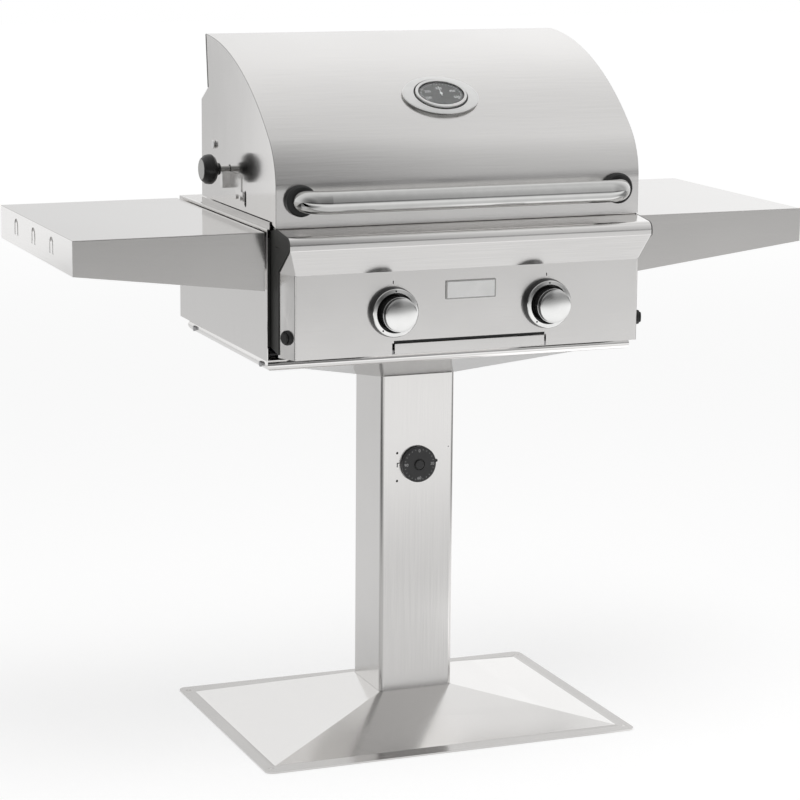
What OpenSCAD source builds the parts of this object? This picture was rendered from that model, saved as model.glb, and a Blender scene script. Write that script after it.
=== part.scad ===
// Two-burner gas grill with side shelves on a fixed patio post
// Lengths are millimetres. X runs to the viewer's right, -Y is the front and Z is up.
// The origin is the centre of the base on the floor.

/* [Base and post] */
// Width of the floor plate
base_w = 690; // [640:5:740]
// Depth of the floor plate
base_d = 510; // [470:5:560]
// Corner radius of the floor plate
base_corner_r = 14; // [8:1:20]
// Thickness of the base sheet
base_t = 3; // [2:0.5:4]
// Height of the base pyramid at the post
base_rise = 60; // [50:1:75]
// Flat border beside the pyramid, left and right
border_x = 24; // [22:1:30]
// Flat border beside the pyramid, front and back
border_y = 32; // [30:1:38]
// Distance of the floor bolts from the left and right edges
anchor_inset_x = 14; // [12:1:16]
// Distance of the floor bolts from the front and back edges
anchor_inset_y = 22; // [18:1:24]
// Diameter of the floor bolt holes
anchor_d = 9; // [6:0.5:10]
// Width of the post
post_w = 138; // [124:1:150]
// Depth of the post
post_d = 130; // [116:1:140]
// Corner radius of the post
post_r = 8; // [5:1:12]
// Wall of the post
post_t = 2; // [1.5:0.5:3]
// Height of the top end of the post
post_top = 630; // [600:5:660]
// Thickness of the plates inside the post's ends
end_plate_t = 8; // [6:1:10]
// Bolt spacing of the post's end plates across X
post_bolt_x = 88; // [80:2:92]
// Bolt spacing of the post's end plates across Y
post_bolt_y = 74; // [68:2:78]

/* [Pan under the housing] */
// Width over the rolled rim of the pan
pan_w = 662; // [644:2:664]
// Depth over the rolled rim of the pan
pan_d = 438; // [424:2:440]
// Diameter of the rolled rim
rim_d = 18; // [12:1:20]
// Height of the pan from the post to the top of its rim
pan_h = 70; // [62:1:80]
// Sheet thickness of the pan
pan_t = 2; // [1.5:0.5:3]

/* [Housing] */
// Width over the housing's side sheets
housing_w = 667; // [662:1:680]
// Front edge of the side sheets
housing_front = -223; // [-228:1:-220]
// Back face of the housing
housing_back = 257; // [254:1:264]
// Height of the housing's side sheets
housing_h = 219; // [217:1:224]
// Thickness of the outer sheets
sheet = 2; // [1.5:0.5:2]
// Width of the ledge along the top of each side sheet
ledge_w = 5; // [4:0.5:6]
// Gap from the housing's outer face to the firebox on each side
fire_inset = 13.5; // [12.5:0.5:15.5]
// Front face of the firebox
firebox_front = -236; // [-238:1:-235]
// Back face of the firebox
firebox_back = 141; // [138:1:142]
// Height of the firebox walls
firebox_h = 165; // [160:1:168]
// Height of the rear screen above the deck
screen_h = 176; // [160:1:178]

/* [Hood] */
// Distance from the housing's outer face in to the hood's side
hood_inset = 6.9; // [6.3:0.1:7.3]
// Front face of the hood
hood_front = -248; // [-252:1:-246]
// Back edge of the hood's crown
hood_back = 121.5; // [118:0.5:124]
// Lower edge of the hood above the housing's ledge
hood_gap = 2; // [1.5:0.5:4]
// Height of the flat band along the hood's front
band_h = 62; // [56:1:68]
// Radius of the bend above the flat band
shoulder_r = 116; // [110:1:122]
// Radius of the crown
crown_r = 512; // [500:1:524]
// Thickness of the hood sheet
hood_t = 1.5; // [1:0.25:2]
// Place of the hood's pivot from front to back
pivot_y = 75; // [73:0.5:77]
// Height of the hood's pivot above the housing's ledge
pivot_rise = 109; // [106:0.5:112]
// Diameter of the pivot bolts
pivot_d = 8; // [6:0.5:10]
// Diameter of the handle tube
handle_d = 34; // [28:1:36]
// Distance of the handle's centre line from the hood's front
handle_out = 42; // [40:1:48]
// Distance between the handle's mounting points
handle_span = 570; // [540:2:580]
// Width of the oval thermometer bezel
gauge_w = 141; // [120:1:150]
// Height of the oval thermometer bezel
gauge_h = 87; // [76:1:90]
// Place of the thermometer on the crown, degrees from its top
gauge_angle = 35.5; // [32:0.5:38]

/* [Control panel] */
// Front face of the control panel
panel_front = -290; // [-292:1:-288]
// Width of the panel's angled ends
chamfer_w = 15; // [12:1:20]
// Height of the panel's front face
panel_h = 139; // [134:1:142]
// Lower edge of the panel above the pan's rim
panel_lift = 11; // [8:1:13]
// Front of the rounded nose above the panel
nose_front = -308; // [-312:1:-304]
// Radius of the nose
nose_r = 14; // [11:1:15]
// Distance between the knobs
knob_gap = 276; // [250:2:290]
// Height of the knobs above the panel's lower edge
knob_rise = 72; // [68:1:76]
// Diameter of the fixed bezel round each knob
bezel_d = 84; // [80:1:88]
// Diameter of the knob's cap
knob_d = 56; // [50:1:57]
// Diameter of the knob's shaft
stem_d = 8; // [6:0.5:9]
// Travel of a knob when it is pushed in
knob_push = 3; // [2:0.5:3.5]
// Diameter of the push buttons
button_d = 18; // [14:1:19]
// Travel of the push buttons
button_push = 3.5; // [2.5:0.5:4]
// Width of the slide-out plate's front
slide_w = 270; // [240:2:290]
// Height of the slide-out plate's front
slide_h = 17; // [14:1:18]
// Depth of the slide-out plate
slide_depth = 95; // [80:1:98]

/* [Shelves] */
// Length of each shelf
shelf_l = 322; // [300:2:340]
// Gap between a shelf and the housing
shelf_gap = 3.5; // [3:0.5:5]
// Height of a shelf's outer edge
shelf_edge = 58; // [50:1:64]
// Height of a shelf's inner edge
shelf_root = 97; // [84:1:100]
// Drop of the shelf surface below the housing's ledge
shelf_drop = 4.6; // [3:0.1:8]
// Sheet thickness of the shelves
shelf_t = 1.2; // [1:0.1:2]
// Width of the tool hooks in a shelf's outer end
hook_w = 25; // [20:1:28]

/* [Cooking parts] */
// Diameter of the grid bars
grid_bar_d = 8; // [6:0.5:9]
// Distance between grid bars
grid_pitch = 19; // [17:0.5:22]
// Diameter of the burner tubes
burner_d = 25; // [20:1:27]
// Distance between the two legs of a burner
burner_gap = 96; // [80:2:104]
// Diameter of the spit
spit_d = 9; // [8:0.5:10]
// Place of the spit from front to back
spit_y = -8; // [-10:0.5:-6]
// Height of the spit above the housing's ledge
spit_rise = 76; // [74:0.5:78]

/* [Gas and timer] */
// Height of the timer on the post
timer_z = 470; // [420:5:520]
// Diameter of the timer's dial
dial_d = 64; // [56:1:70]
// Diameter of the gas pipe
pipe_d = 21.3; // [18:0.1:24]
// Diameter of the gas pipe above the timer
riser_d = 12; // [10:0.5:13]

/* [Hidden] */

$fn = 48;

// Clearances
run = 0.06;      // radial clearance of a turning fit
slip = 0.3;      // gap between faces that slide past each other
hole_slack = 1;  // extra diameter of a bolt hole
cut = 1;         // how far a cutter passes a face

// Colours
steel = [0.78, 0.78, 0.77];
pale_steel = [0.86, 0.86, 0.85];
dark_metal = [0.20, 0.20, 0.19];
chrome = [0.90, 0.90, 0.91];
black = [0.07, 0.07, 0.07];
brass = [0.78, 0.62, 0.30];
iron = [0.35, 0.35, 0.36];

// Base and post
plateau_t = base_t;
post_base = base_rise;
gas_hole_d = 60;
post_bolt_d = 10;
nut_w = 17;
nut_h = 8;
head_h = 6.4;

// Pan
pan_bottom = post_top;
pan_top = post_top + pan_h;
rim_r = rim_d / 2;
rim_z = pan_top - rim_r;
rim_x = pan_w / 2 - rim_r;
rim_y = pan_d / 2 - rim_r;

// Housing
side_x = housing_w / 2;
side_in = side_x - sheet;
floor_z = pan_top;
ledge_z = floor_z + housing_h;
shelf_z = ledge_z - shelf_drop;
foot_w = 38.5;
fire_x = side_x - fire_inset;
fire_t = 2;
fire_floor = floor_z + 50;
fire_top = fire_floor + firebox_h;
fire_ledge_w = 8;
grid_z = fire_top - 27;
plate_z = fire_top - 79;
screen_t = 2;
screen_y = firebox_back + screen_t;
screen_top = ledge_z + screen_h;
deck_front = firebox_back + 9;
vent_pitch = (side_x - 63.5) / 4.5;
louvre_pitch = (side_x - 53.5) / 3.5;
plate_pitch = (fire_x - 11) / 1.5;
plate_half = plate_pitch * 0.3;

// Hood
hood_x = side_x - hood_inset;
hood_z = ledge_z + hood_gap;
shoulder_y = hood_front + shoulder_r;
shoulder_z = hood_z + band_h;
crown_y = shoulder_y + (crown_r - shoulder_r) * sin(45);
crown_z = shoulder_z - (crown_r - shoulder_r) * cos(45);
crown_top = crown_z + crown_r;
pivot_z = ledge_z + pivot_rise;
side_plate_x = hood_x - 1;
lobe_back = 148;
lobe_top = pivot_z + 71.6;
side_low = hood_z + 10;
ear_t = 3;
ear_r = 22;
notch_y = hood_back - 11;
notch_z = lobe_top + 23;
handle_y = hood_front - handle_out;
handle_z = hood_z + 46;
gasket_t = 12;
handle_bend = handle_out - 4;
gasket_d = 52;
gasket_hole = handle_d + 3;
gauge_t = 10;

// Panel
panel_z = floor_z + panel_lift;
panel_top = panel_z + panel_h;
panel_t = 1.5;
end_t = 2;
rail_x = side_in - 8.5;
end_in = rail_x;
panel_x = end_in - chamfer_w;
chamfer_y = 34.5;
chamfer_back = panel_front + chamfer_y;
nose_z = ledge_z + 1.7;
nose_mid = nose_z - 20;
nose_low = nose_z - 28;
rail_back = firebox_front;
knob_x = knob_gap / 2;
knob_z = panel_z + knob_rise;
bezel_h = 14;
bezel_in = 64;
knob_face = panel_front - 41;
button_z = panel_z + 36;
button_stem = 9;
socket_t = 1.5;
button_angle = atan2(end_in - panel_x, chamfer_y);
chamfer_mid_x = (end_in + panel_x) / 2;
chamfer_mid_y = (panel_front + chamfer_back) / 2;
slide_x = slide_w / 2;
slide_z = panel_z + 1.5;
slide_t = 1.2;
slot_h = slide_h + 1.5;

// Gas train
manifold_d = 20;
manifold_y = -256;
manifold_z = knob_z - 26;
valve_w = 24;
valve_h = 32;
valve_front = panel_front + 8;
valve_back = firebox_front - 8;
stem_back = valve_front + 16;
timer_w = 56;
timer_h = 44;
timer_back = -4;
port_y = -14;
inlet_z = 4;
inlet_l = 30;
tray_gap_z = 692;
riser_front = -186;

// Shelves
shelf_in = side_x + shelf_gap;
shelf_out = shelf_in + shelf_l;
hook_mid = (housing_front + housing_back) / 2 + 10;
hook_ys = [hook_mid + 118, hook_mid, hook_mid - 119];
hook_z = shelf_z - 24;
hook_h = 28;
hook_slit = 6;

// Spit
spit_z = ledge_z + spit_rise;
spit_left = hood_x + 45;
spit_right = hood_x + 38;
knob_near = hood_x + 17;

// Drip tray
tray_x = fire_x - 65;
tray_front = -175;
tray_t = 1;
tray_h = 32;
runner_t = 1.5;
tray_z = floor_z + sheet + runner_t + slip;

// Plain helpers

module box(x0, x1, y0, y1, z0, z1) {
    translate([x0, y0, z0])
        cube([x1 - x0, y1 - y0, z1 - z0]);
}

// Profile drawn as (Y, Z), swept along X
module along_x(x0, x1) {
    translate([x0, 0, 0])
        rotate([90, 0, 90])
            linear_extrude(height = x1 - x0)
                children();
}

// Profile drawn as (X, Z), swept along Y
module along_y(y0, y1) {
    translate([0, y1, 0])
        rotate([90, 0, 0])
            linear_extrude(height = y1 - y0)
                children();
}

module rod_x(x0, x1, y, z, d) {
    translate([x0, y, z])
        rotate([0, 90, 0])
            cylinder(h = x1 - x0, d = d);
}

module rod_y(y0, y1, x, z, d) {
    translate([x, y0, z])
        rotate([-90, 0, 0])
            cylinder(h = y1 - y0, d = d);
}

module rod_z(z0, z1, x, y, d) {
    translate([x, y, z0])
        cylinder(h = z1 - z0, d = d);
}

module ball(x, y, z, d) {
    translate([x, y, z])
        sphere(d = d);
}

module both_sides() {
    children();
    mirror([1, 0, 0])
        children();
}

module rounded_rect(w, d, r) {
    square([w - 2 * r, d], center = true);
    square([w, d - 2 * r], center = true);
    for (x = [-1, 1], y = [-1, 1])
        translate([x * (w / 2 - r), y * (d / 2 - r)])
            circle(r = r);
}

// Four-sided taper between two rectangles at two heights
module taper(w0, d0, z0, w1, d1, z1) {
    rings = [[w0, d0, z0], [w1, d1, z1]];
    points = [for (r = rings, c = [[-1, -1], [1, -1], [1, 1], [-1, 1]]) [c[0] * r[0] / 2, c[1] * r[1] / 2, r[2]]];
    walls = [for (i = [0 : 3]) [i, i + 4, (i + 1) % 4 + 4, (i + 1) % 4]];
    polyhedron(points = points, faces = concat([[0, 1, 2, 3], [7, 6, 5, 4]], walls));
}

module hex_head(d, h) {
    cylinder(h = h, d = d, $fn = 6);
}

function oval(w, h, n = 48) = [for (i = [0 : n - 1]) [w / 2 * cos(360 * i / n), h / 2 * sin(360 * i / n)]];

// Floor plate and post

module base_plate() color(pale_steel) {
    crease_w = base_w - 2 * border_x;
    crease_d = base_d - 2 * border_y;
    slope_x = (crease_w - post_w) / (base_rise - base_t);
    slope_y = (crease_d - post_d) / (base_rise - base_t);
    difference() {
        union() {
            linear_extrude(height = base_t)
                rounded_rect(base_w, base_d, base_corner_r);
            taper(crease_w, crease_d, base_t, post_w, post_d, base_rise);
        }
        taper(crease_w + slope_x * cut, crease_d + slope_y * cut, -cut,
            post_w, post_d, base_rise - base_t);
        for (x = [-1, 1], y = [-1, 1])
            rod_z(-cut, base_t + cut, x * (base_w / 2 - anchor_inset_x),
                y * (base_d / 2 - anchor_inset_y), anchor_d);
        post_bolt_holes(base_rise - base_t - cut, base_rise + cut);
        rod_z(base_rise - base_t - cut, base_rise + cut, 0, 0, gas_hole_d);
    }
}

module post_bolt_holes(z0, z1) {
    for (x = [-1, 1], y = [-1, 1])
        rod_z(z0, z1, x * post_bolt_x / 2, y * post_bolt_y / 2, post_bolt_d + hole_slack);
}

module post_tube() color(steel) {
    difference() {
        translate([0, 0, post_base])
            linear_extrude(height = post_top - post_base)
                difference() {
                    rounded_rect(post_w, post_d, post_r);
                    rounded_rect(post_w - 2 * post_t, post_d - 2 * post_t, post_r - post_t);
                }
        rod_y(-post_d / 2 - cut, -post_d / 2 + post_t + cut, 0, timer_z, 12);
    }
}

module post_inner_plate(z) {
    difference() {
        translate([0, 0, z])
            linear_extrude(height = end_plate_t)
                rounded_rect(post_w - 2 * post_t - 2 * slip, post_d - 2 * post_t - 2 * slip, post_r - post_t);
        post_bolt_holes(z - cut, z + end_plate_t + cut);
        rod_z(z - cut, z + end_plate_t + cut, 0, 0, gas_hole_d);
    }
}

module post_end_plates() color(dark_metal) {
    post_inner_plate(post_base);
    post_inner_plate(post_top - end_plate_t);
}

module post_bolts() color(steel)
    for (x = [-1, 1], y = [-1, 1])
        translate([x * post_bolt_x / 2, y * post_bolt_y / 2, 0]) {
            foot_top = post_base + end_plate_t;
            translate([0, 0, base_rise - plateau_t - head_h])
                hex_head(nut_w, head_h);
            rod_z(base_rise - plateau_t - head_h, foot_top + nut_h + 2, 0, 0, post_bolt_d);
            translate([0, 0, foot_top])
                hex_head(nut_w, nut_h);
            head_low = post_top - end_plate_t;
            translate([0, 0, pan_bottom + pan_t])
                hex_head(nut_w, head_h);
            rod_z(head_low - nut_h - 2, pan_bottom + pan_t + head_h, 0, 0, post_bolt_d);
            translate([0, 0, head_low - nut_h])
                hex_head(nut_w, nut_h);
        }

// Inverted pyramid pan with a rolled rim

module rim_tube() {
    n = 20;
    corners = [[-1, -1], [1, -1], [1, 1], [-1, 1]];
    turn = [for (i = [0 : n - 1]) 360 * (i + 0.5) / n];
    points = [for (c = corners, a = turn) [c[0] * (rim_x + rim_r * cos(a)), c[1] * (rim_y + rim_r * cos(a)),
        rim_z + rim_r * sin(a)]];
    faces = [for (k = [0 : 3], i = [0 : n - 1]) [k * n + i, k * n + (i + 1) % n,
        ((k + 1) % 4) * n + (i + 1) % n, ((k + 1) % 4) * n + i]];
    polyhedron(points = points, faces = faces);
}

module head_pan() color(steel) {
    difference() {
        union() {
            difference() {
                taper(post_w, post_d, pan_bottom, 2 * rim_x, 2 * rim_y, rim_z);
                taper(post_w, post_d, pan_bottom + pan_t, 2 * rim_x, 2 * rim_y, rim_z + pan_t);
            }
            rim_tube();
        }
        post_bolt_holes(pan_bottom - cut, pan_bottom + pan_t + cut);
        rod_z(pan_bottom - cut, pan_bottom + pan_t + cut, 0, 0, gas_hole_d);
        for (y = [174, -190])
            rod_x(-rim_x - rim_d, rim_x + rim_d, y, rim_z, 5.4);
    }
}

module head_pan_bolts() color(dark_metal)
    both_sides()
        for (y = [rim_y - 36, -rim_y + 20])
            translate([-rim_x - rim_r, y, rim_z])
                rotate([0, -90, 0]) {
                    hex_head(10, 4);
                    translate([0, 0, -rim_d + 1])
                        cylinder(h = rim_d, d = 5);
                }

// Gas supply, timer and riser

module gas_supply_pipe() color(dark_metal)
    difference() {
        union() {
            rod_z(inlet_z, inlet_z + inlet_l, 0, port_y, pipe_d - 0.8);
            rod_z(inlet_z + inlet_l, timer_z - timer_h / 2, 0, port_y, pipe_d);
        }
        rod_z(inlet_z - cut, timer_z - timer_h / 2 + cut, 0, port_y, pipe_d - 5.6);
    }

module timer_valve() color(brass)
    difference() {
        union() {
            box(-timer_w / 2, timer_w / 2, -post_d / 2 + post_t, timer_back,
                timer_z - timer_h / 2, timer_z + timer_h / 2);
            rod_z(timer_z + timer_h / 2 - 1, timer_z + timer_h / 2 + 12, 0, port_y, 20);
        }
        rod_y(-post_d / 2 - cut, -post_d / 2 + 24, 0, timer_z, stem_d + 2 * run);
    }

module timer_dial() color(black) {
    face_y = -post_d / 2 - 2;
    difference() {
        union() {
            rod_y(face_y - 6, face_y, 0, timer_z, dial_d);
            rod_y(face_y - 9, face_y - 5, 0, timer_z, 16);
            box(dial_d / 2 - 2, dial_d / 2 + 3.5, face_y - 5, face_y - 1, timer_z - 2.5, timer_z + 2.5);
        }
        for (i = [0 : 11])
            translate([0, face_y - 3, timer_z])
                rotate([0, i * 30, 0])
                    translate([0, 0, dial_d / 2 + 1])
                        rotate([90, 0, 0])
                            cylinder(h = 10, d = 4, center = true);
    }
    rod_y(face_y - 1, -post_d / 2 + 22, 0, timer_z, stem_d);
}

module gas_riser_pipe() color(brass) {
    z0 = timer_z + timer_h / 2 + 12;
    rod_z(z0, tray_gap_z, 0, port_y, riser_d);
    ball(0, port_y, tray_gap_z, riser_d);
    rod_y(riser_front, port_y, 0, tray_gap_z, riser_d);
    ball(0, riser_front, tray_gap_z, riser_d);
    rod_z(tray_gap_z, manifold_z - 20, 0, riser_front, riser_d);
    ball(0, riser_front, manifold_z - 20, riser_d);
    rod_y(manifold_y, riser_front, 0, manifold_z - 20, riser_d);
    ball(0, manifold_y, manifold_z - 20, riser_d);
    rod_z(manifold_z - 20, manifold_z - manifold_d / 2 - 0.05, 0, manifold_y, riser_d);
}

module manifold_pipe() color(dark_metal)
    difference() {
        union() {
            rod_x(-knob_x - 40, knob_x + 40, manifold_y, manifold_z, manifold_d);
            rod_x(-knob_x - 52, -knob_x - 38, manifold_y, manifold_z, manifold_d + 5);
            rod_x(knob_x + 38, knob_x + 52, manifold_y, manifold_z, manifold_d + 5);
            for (x = [-knob_x - 30, knob_x + 30])
                box(x - 6, x + 6, panel_front + panel_t, manifold_y, manifold_z - 4, manifold_z + 4);
        }
        rod_x(-knob_x - 38, knob_x + 38, manifold_y, manifold_z, manifold_d - 5);
    }

module valve(x) color(brass)
    difference() {
        union() {
            box(x - valve_w / 2, x + valve_w / 2, valve_front, valve_back, knob_z - 12, knob_z - 12 + valve_h);
            rod_z(manifold_z + manifold_d / 2 + 0.05, knob_z - 11, x, manifold_y, 14);
            rod_y(valve_back - 1, valve_back + 10, x, knob_z, 10);
            rod_y(panel_front + panel_t, valve_front + 1, x, knob_z, 15);
        }
        rod_y(panel_front - cut, stem_back + knob_push + 1, x, knob_z, stem_d + 2 * run);
    }

module valve_left()
    valve(-knob_x);

module valve_right()
    valve(knob_x);

module stem(x) color(steel)
    rod_y(knob_face + 10, stem_back, x, knob_z, stem_d);

module stem_left()
    stem(-knob_x);

module stem_right()
    stem(knob_x);

// Housing sheets

module housing_side() color(steel)
    along_y(housing_front, housing_back) {
        translate([-side_x, floor_z])
            square([sheet, housing_h]);
        translate([-side_x, ledge_z - sheet])
            square([ledge_w, sheet]);
        translate([-side_x, floor_z])
            square([foot_w, sheet]);
    }

module housing_side_left()
    housing_side();

module housing_side_right()
    mirror([1, 0, 0])
        housing_side();

module housing_rear_panel() color(steel)
    difference() {
        box(-side_in, side_in, housing_back - sheet, housing_back, floor_z + sheet, ledge_z - sheet);
        box(-tray_x - 14, tray_x + 14, housing_back - sheet - cut, housing_back + cut, floor_z, tray_z + tray_h + 3);
        for (i = [-4 : 4], z = [floor_z + 96, floor_z + 140])
            box((i - 0.37) * vent_pitch, (i + 0.37) * vent_pitch, housing_back - sheet - cut, housing_back + cut, z, z + 10);
    }

// Deck behind the firebox, folded up into the screen that closes the back of the hood

module rear_screen() color(steel)
    difference() {
        union() {
            along_x(-fire_x + 1, fire_x - 1)
                translate([firebox_back, ledge_z - sheet])
                    square([screen_t, screen_h + sheet]);
            along_x(-fire_x + 1, fire_x - 1)
                translate([firebox_back, ledge_z - sheet])
                    square([housing_back - firebox_back, sheet]);
            box(-side_x + ledge_w, side_x - ledge_w, deck_front, housing_back, ledge_z - sheet, ledge_z);
        }
        for (i = [-3 : 3])
            box((i - 0.375) * louvre_pitch, (i + 0.375) * louvre_pitch, firebox_back - cut, screen_y + cut, screen_top - 44, screen_top - 32);
    }

module firebox() color(iron) {
    difference() {
        box(-fire_x, fire_x, firebox_front, firebox_back, fire_floor, fire_top);
        box(-fire_x + fire_t, fire_x - fire_t, firebox_front + fire_t, firebox_back - fire_t,
            fire_floor + fire_t, fire_top + cut);
        box(-60, 60, -80, 10, fire_floor - cut, fire_floor + fire_t + cut);
        for (x = [-knob_x, knob_x])
            rod_y(firebox_front - cut, firebox_front + fire_t + cut, x, knob_z, 23);
        for (x = [-knob_x, knob_x])
            rod_y(firebox_front - cut, firebox_front + fire_t + cut, x + 32, knob_z + 16, 8);
    }
    for (z = [grid_z, plate_z], y = [firebox_front + fire_t, firebox_back - fire_t - fire_ledge_w])
        box(-fire_x + fire_t, fire_x - fire_t, y, y + fire_ledge_w, z - 3, z);
    both_sides()
        box(-side_in, -fire_x, -60, -40, fire_floor + 20, fire_floor + 60);
}

module hinge_bracket() color(steel)
    along_x(-fire_x - ear_t, -fire_x)
        difference() {
            union() {
                translate([pivot_y, pivot_z])
                    circle(r = ear_r);
                translate([pivot_y - ear_r, fire_top - 50])
                    square([2 * ear_r, pivot_z - fire_top + 50]);
            }
            translate([pivot_y, pivot_z])
                circle(d = pivot_d);
        }

module hinge_bracket_left()
    hinge_bracket();

module hinge_bracket_right()
    mirror([1, 0, 0])
        hinge_bracket();

module hood_pivot_bolts() color(chrome)
    both_sides() {
        outer = side_plate_x + slip;
        rod_x(-outer - 0.5, -fire_x + 4, pivot_y, pivot_z, pivot_d - 2 * run);
        rod_x(-outer - 4, -outer, pivot_y, pivot_z, 15);
        translate([-fire_x, pivot_y, pivot_z])
            rotate([0, 90, 0])
                hex_head(13, 5);
    }

// Control panel group

module end_plate() color(dark_metal) {
    plate_back = housing_front + 10;
    along_x(-rail_x - end_t, -rail_x) {
        nose_profile(0);
        polygon([[plate_back, nose_z - 5], [rail_back - 6, nose_z - 1], [rail_back - 6, nose_low - 1],
            [nose_front + nose_r, nose_low + 1], [nose_front, nose_low + 1], [chamfer_back, panel_top + 4],
            [chamfer_back, panel_z + 5], [plate_back, panel_z + 12]]);
    }
    box(-side_in, -rail_x, plate_back, plate_back + end_t, panel_z + 12, nose_low + 10);
}

module end_plate_left()
    end_plate();

module end_plate_right()
    mirror([1, 0, 0])
        end_plate();

// Outline of the panel seen from above, moved inwards by a wall
function panel_outline(i) = [
    [-end_in + i, chamfer_back + (i > 0 ? cut : 0)],
    [-end_in + i, chamfer_back + i * 0.4],
    [-panel_x + i * 0.5, panel_front + i],
    [panel_x - i * 0.5, panel_front + i],
    [end_in - i, chamfer_back + i * 0.4],
    [end_in - i, chamfer_back + (i > 0 ? cut : 0)]];

module panel_strip(h) {
    linear_extrude(height = h)
        difference() {
            polygon(concat(panel_outline(0), [[end_in, chamfer_back + 6], [-end_in, chamfer_back + 6]]));
            polygon(concat(panel_outline(panel_t), [[end_in - panel_t, chamfer_back + 8], [-end_in + panel_t, chamfer_back + 8]]));
        }
}

module control_panel() color(pale_steel)
    difference() {
        translate([0, 0, panel_z])
            panel_strip(panel_h);
        for (x = [-knob_x, knob_x])
            rod_y(panel_front - cut, panel_front + panel_t + cut, x, knob_z, 16);
        box(-slide_x - 4, slide_x + 4, panel_front - cut, panel_front + panel_t + cut,
            panel_z + 1, panel_z + 1 + slot_h);
        both_sides()
            on_chamfer()
                translate([0, 0, -8])
                    cylinder(h = 16, d = 14);
    }

// Local frame on the left chamfer with +Z pointing out of it
module on_chamfer() {
    translate([-chamfer_mid_x, chamfer_mid_y, button_z])
        rotate([90, 0, -90 + button_angle])
            children();
}

// Rounded nose and the sloping face below it
module nose_profile(i) {
    translate([nose_front + nose_r, nose_z - 5.5 - nose_r])
        circle(r = nose_r - i);
    polygon([[rail_back - i, nose_low - 2 * i], [rail_back - i, nose_z - i], [rail_back - nose_r, nose_z - i],
        [nose_front + nose_r, nose_z - 5.5 - i], [nose_front + nose_r, nose_mid],
        [nose_front + i, nose_mid], [nose_front + i, nose_low - 2 * i]]);
}

// Solid between the nose's lower edge and the panel's upper edge
module fascia_solid(i) {
    lower = panel_outline(i);
    wide = rail_x - i;
    inward = 1 - 0.02 / rail_x;
    low_z = panel_top - i;
    back = rail_back - 16 + (i > 0 ? cut : 0);
    rim_pts = [[-wide, back], [-wide, nose_front + i], [wide, nose_front + i], [wide, back]];
    hull() {
        for (p = rim_pts)
            translate([p[0] * inward, p[1], nose_low - 0.1 + i])
                cylinder(h = 0.1, r = 0.01, $fn = 4);
        for (p = [lower[1], lower[2], lower[3], lower[4], [end_in - i, back], [-end_in + i, back]])
            translate([p[0] * inward, p[1], low_z])
                cylinder(h = 0.1, r = 0.01, $fn = 4);
    }
}

module front_rail() color(steel)
    union() {
        along_x(-rail_x, rail_x)
            difference() {
                nose_profile(0);
                nose_profile(panel_t);
            }
        difference() {
            fascia_solid(0);
            fascia_solid(panel_t);
        }
    }

module badge_plate() color(chrome)
    translate([0, panel_front, knob_z + 30])
        rotate([90, 0, 0])
            linear_extrude(height = 2.5)
                rounded_rect(90, 35, 3);

module knob_bezel(x) color(chrome)
    translate([x, panel_front, knob_z])
        rotate([90, 0, 0])
            rotate_extrude()
                polygon([[10, 0], [bezel_d / 2, 0], [bezel_d / 2, 3], [bezel_d / 2 - 3.5, bezel_h - 1.5],
                    [bezel_d / 2 - 5, bezel_h], [bezel_in / 2 + 1, bezel_h], [bezel_in / 2, bezel_h - 1],
                    [bezel_in / 2, 3], [10, 3]]);

module knob_bezel_left()
    knob_bezel(-knob_x);

module knob_bezel_right()
    knob_bezel(knob_x);

module knob(x) color(chrome)
    translate([x, knob_face, knob_z])
        rotate([-90, 0, 0])
            difference() {
                skirt = knob_d / 2 + 1;
                reach = panel_front - knob_face - 3 - knob_push - slip;
                rotate_extrude()
                    polygon([[0, 0], [knob_d / 2 - 7, 0.6], [knob_d / 2 - 2.5, 2], [knob_d / 2, 5],
                        [knob_d / 2, reach - 14], [skirt, reach - 12], [skirt, reach], [0, reach]]);
                translate([0, 0, 10])
                    cylinder(h = reach, d = stem_d + 2 * run);
            }

module knob_left()
    knob(-knob_x);

module knob_right()
    knob(knob_x);

module button_sockets() color(black)
    both_sides()
        on_chamfer()
            rotate_extrude()
                polygon([[button_stem / 2 + slip, -9], [button_stem / 2 + 1.6, -9], [button_stem / 2 + 1.6, 0],
                    [button_d / 2 + 3.3, 0], [button_d / 2 + 2.2, 5], [button_d / 2 + slip, 5.5],
                    [button_d / 2 + slip, socket_t], [button_stem / 2 + slip, socket_t]]);

module push_button() color(black)
    on_chamfer() {
        low = socket_t + button_push + slip;
        rotate_extrude()
            polygon([[0, low], [button_d / 2, low], [button_d / 2, low + 1.7], [button_d / 2 - 1.5, low + 3.2],
                [0, low + 3.2]]);
        translate([0, 0, -9])
            cylinder(h = low + 10, d = button_stem);
    }

module ignition_button()
    push_button();

module light_button()
    mirror([1, 0, 0])
        push_button();

module instruction_plate() color(steel) {
    box(-slide_x, slide_x, panel_front - slip - 1.5, panel_front - slip, slide_z, slide_z + slide_h);
    box(-slide_x, slide_x, panel_front - slip - 0.1, panel_front + slide_depth, slide_z, slide_z + slide_t);
}

module igniter_module() color(black) {
    box(-end_in + 32, -end_in + 76, panel_front + panel_t, panel_front + 32, button_z - 34, button_z + 34);
}

module tray_runners() color(steel) {
    both_sides() {
        box(-side_in + 8, -tray_x + 20, tray_front, housing_back - sheet, floor_z + sheet, floor_z + sheet + runner_t);
        box(-tray_x - 2 * runner_t, -tray_x - runner_t + 0.5, tray_front, housing_back - sheet, floor_z + sheet, floor_z + 22);
        difference() {
            box(-slide_x - 8, -slide_x + 4, panel_front + panel_t, panel_front + slide_depth, slide_z - 1.2, slide_z + 6);
            box(-slide_x - slip, -slide_x + 5, panel_front, panel_front + slide_depth + cut,
                slide_z - slip, slide_z + slide_t + slip);
        }
    }
}

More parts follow.
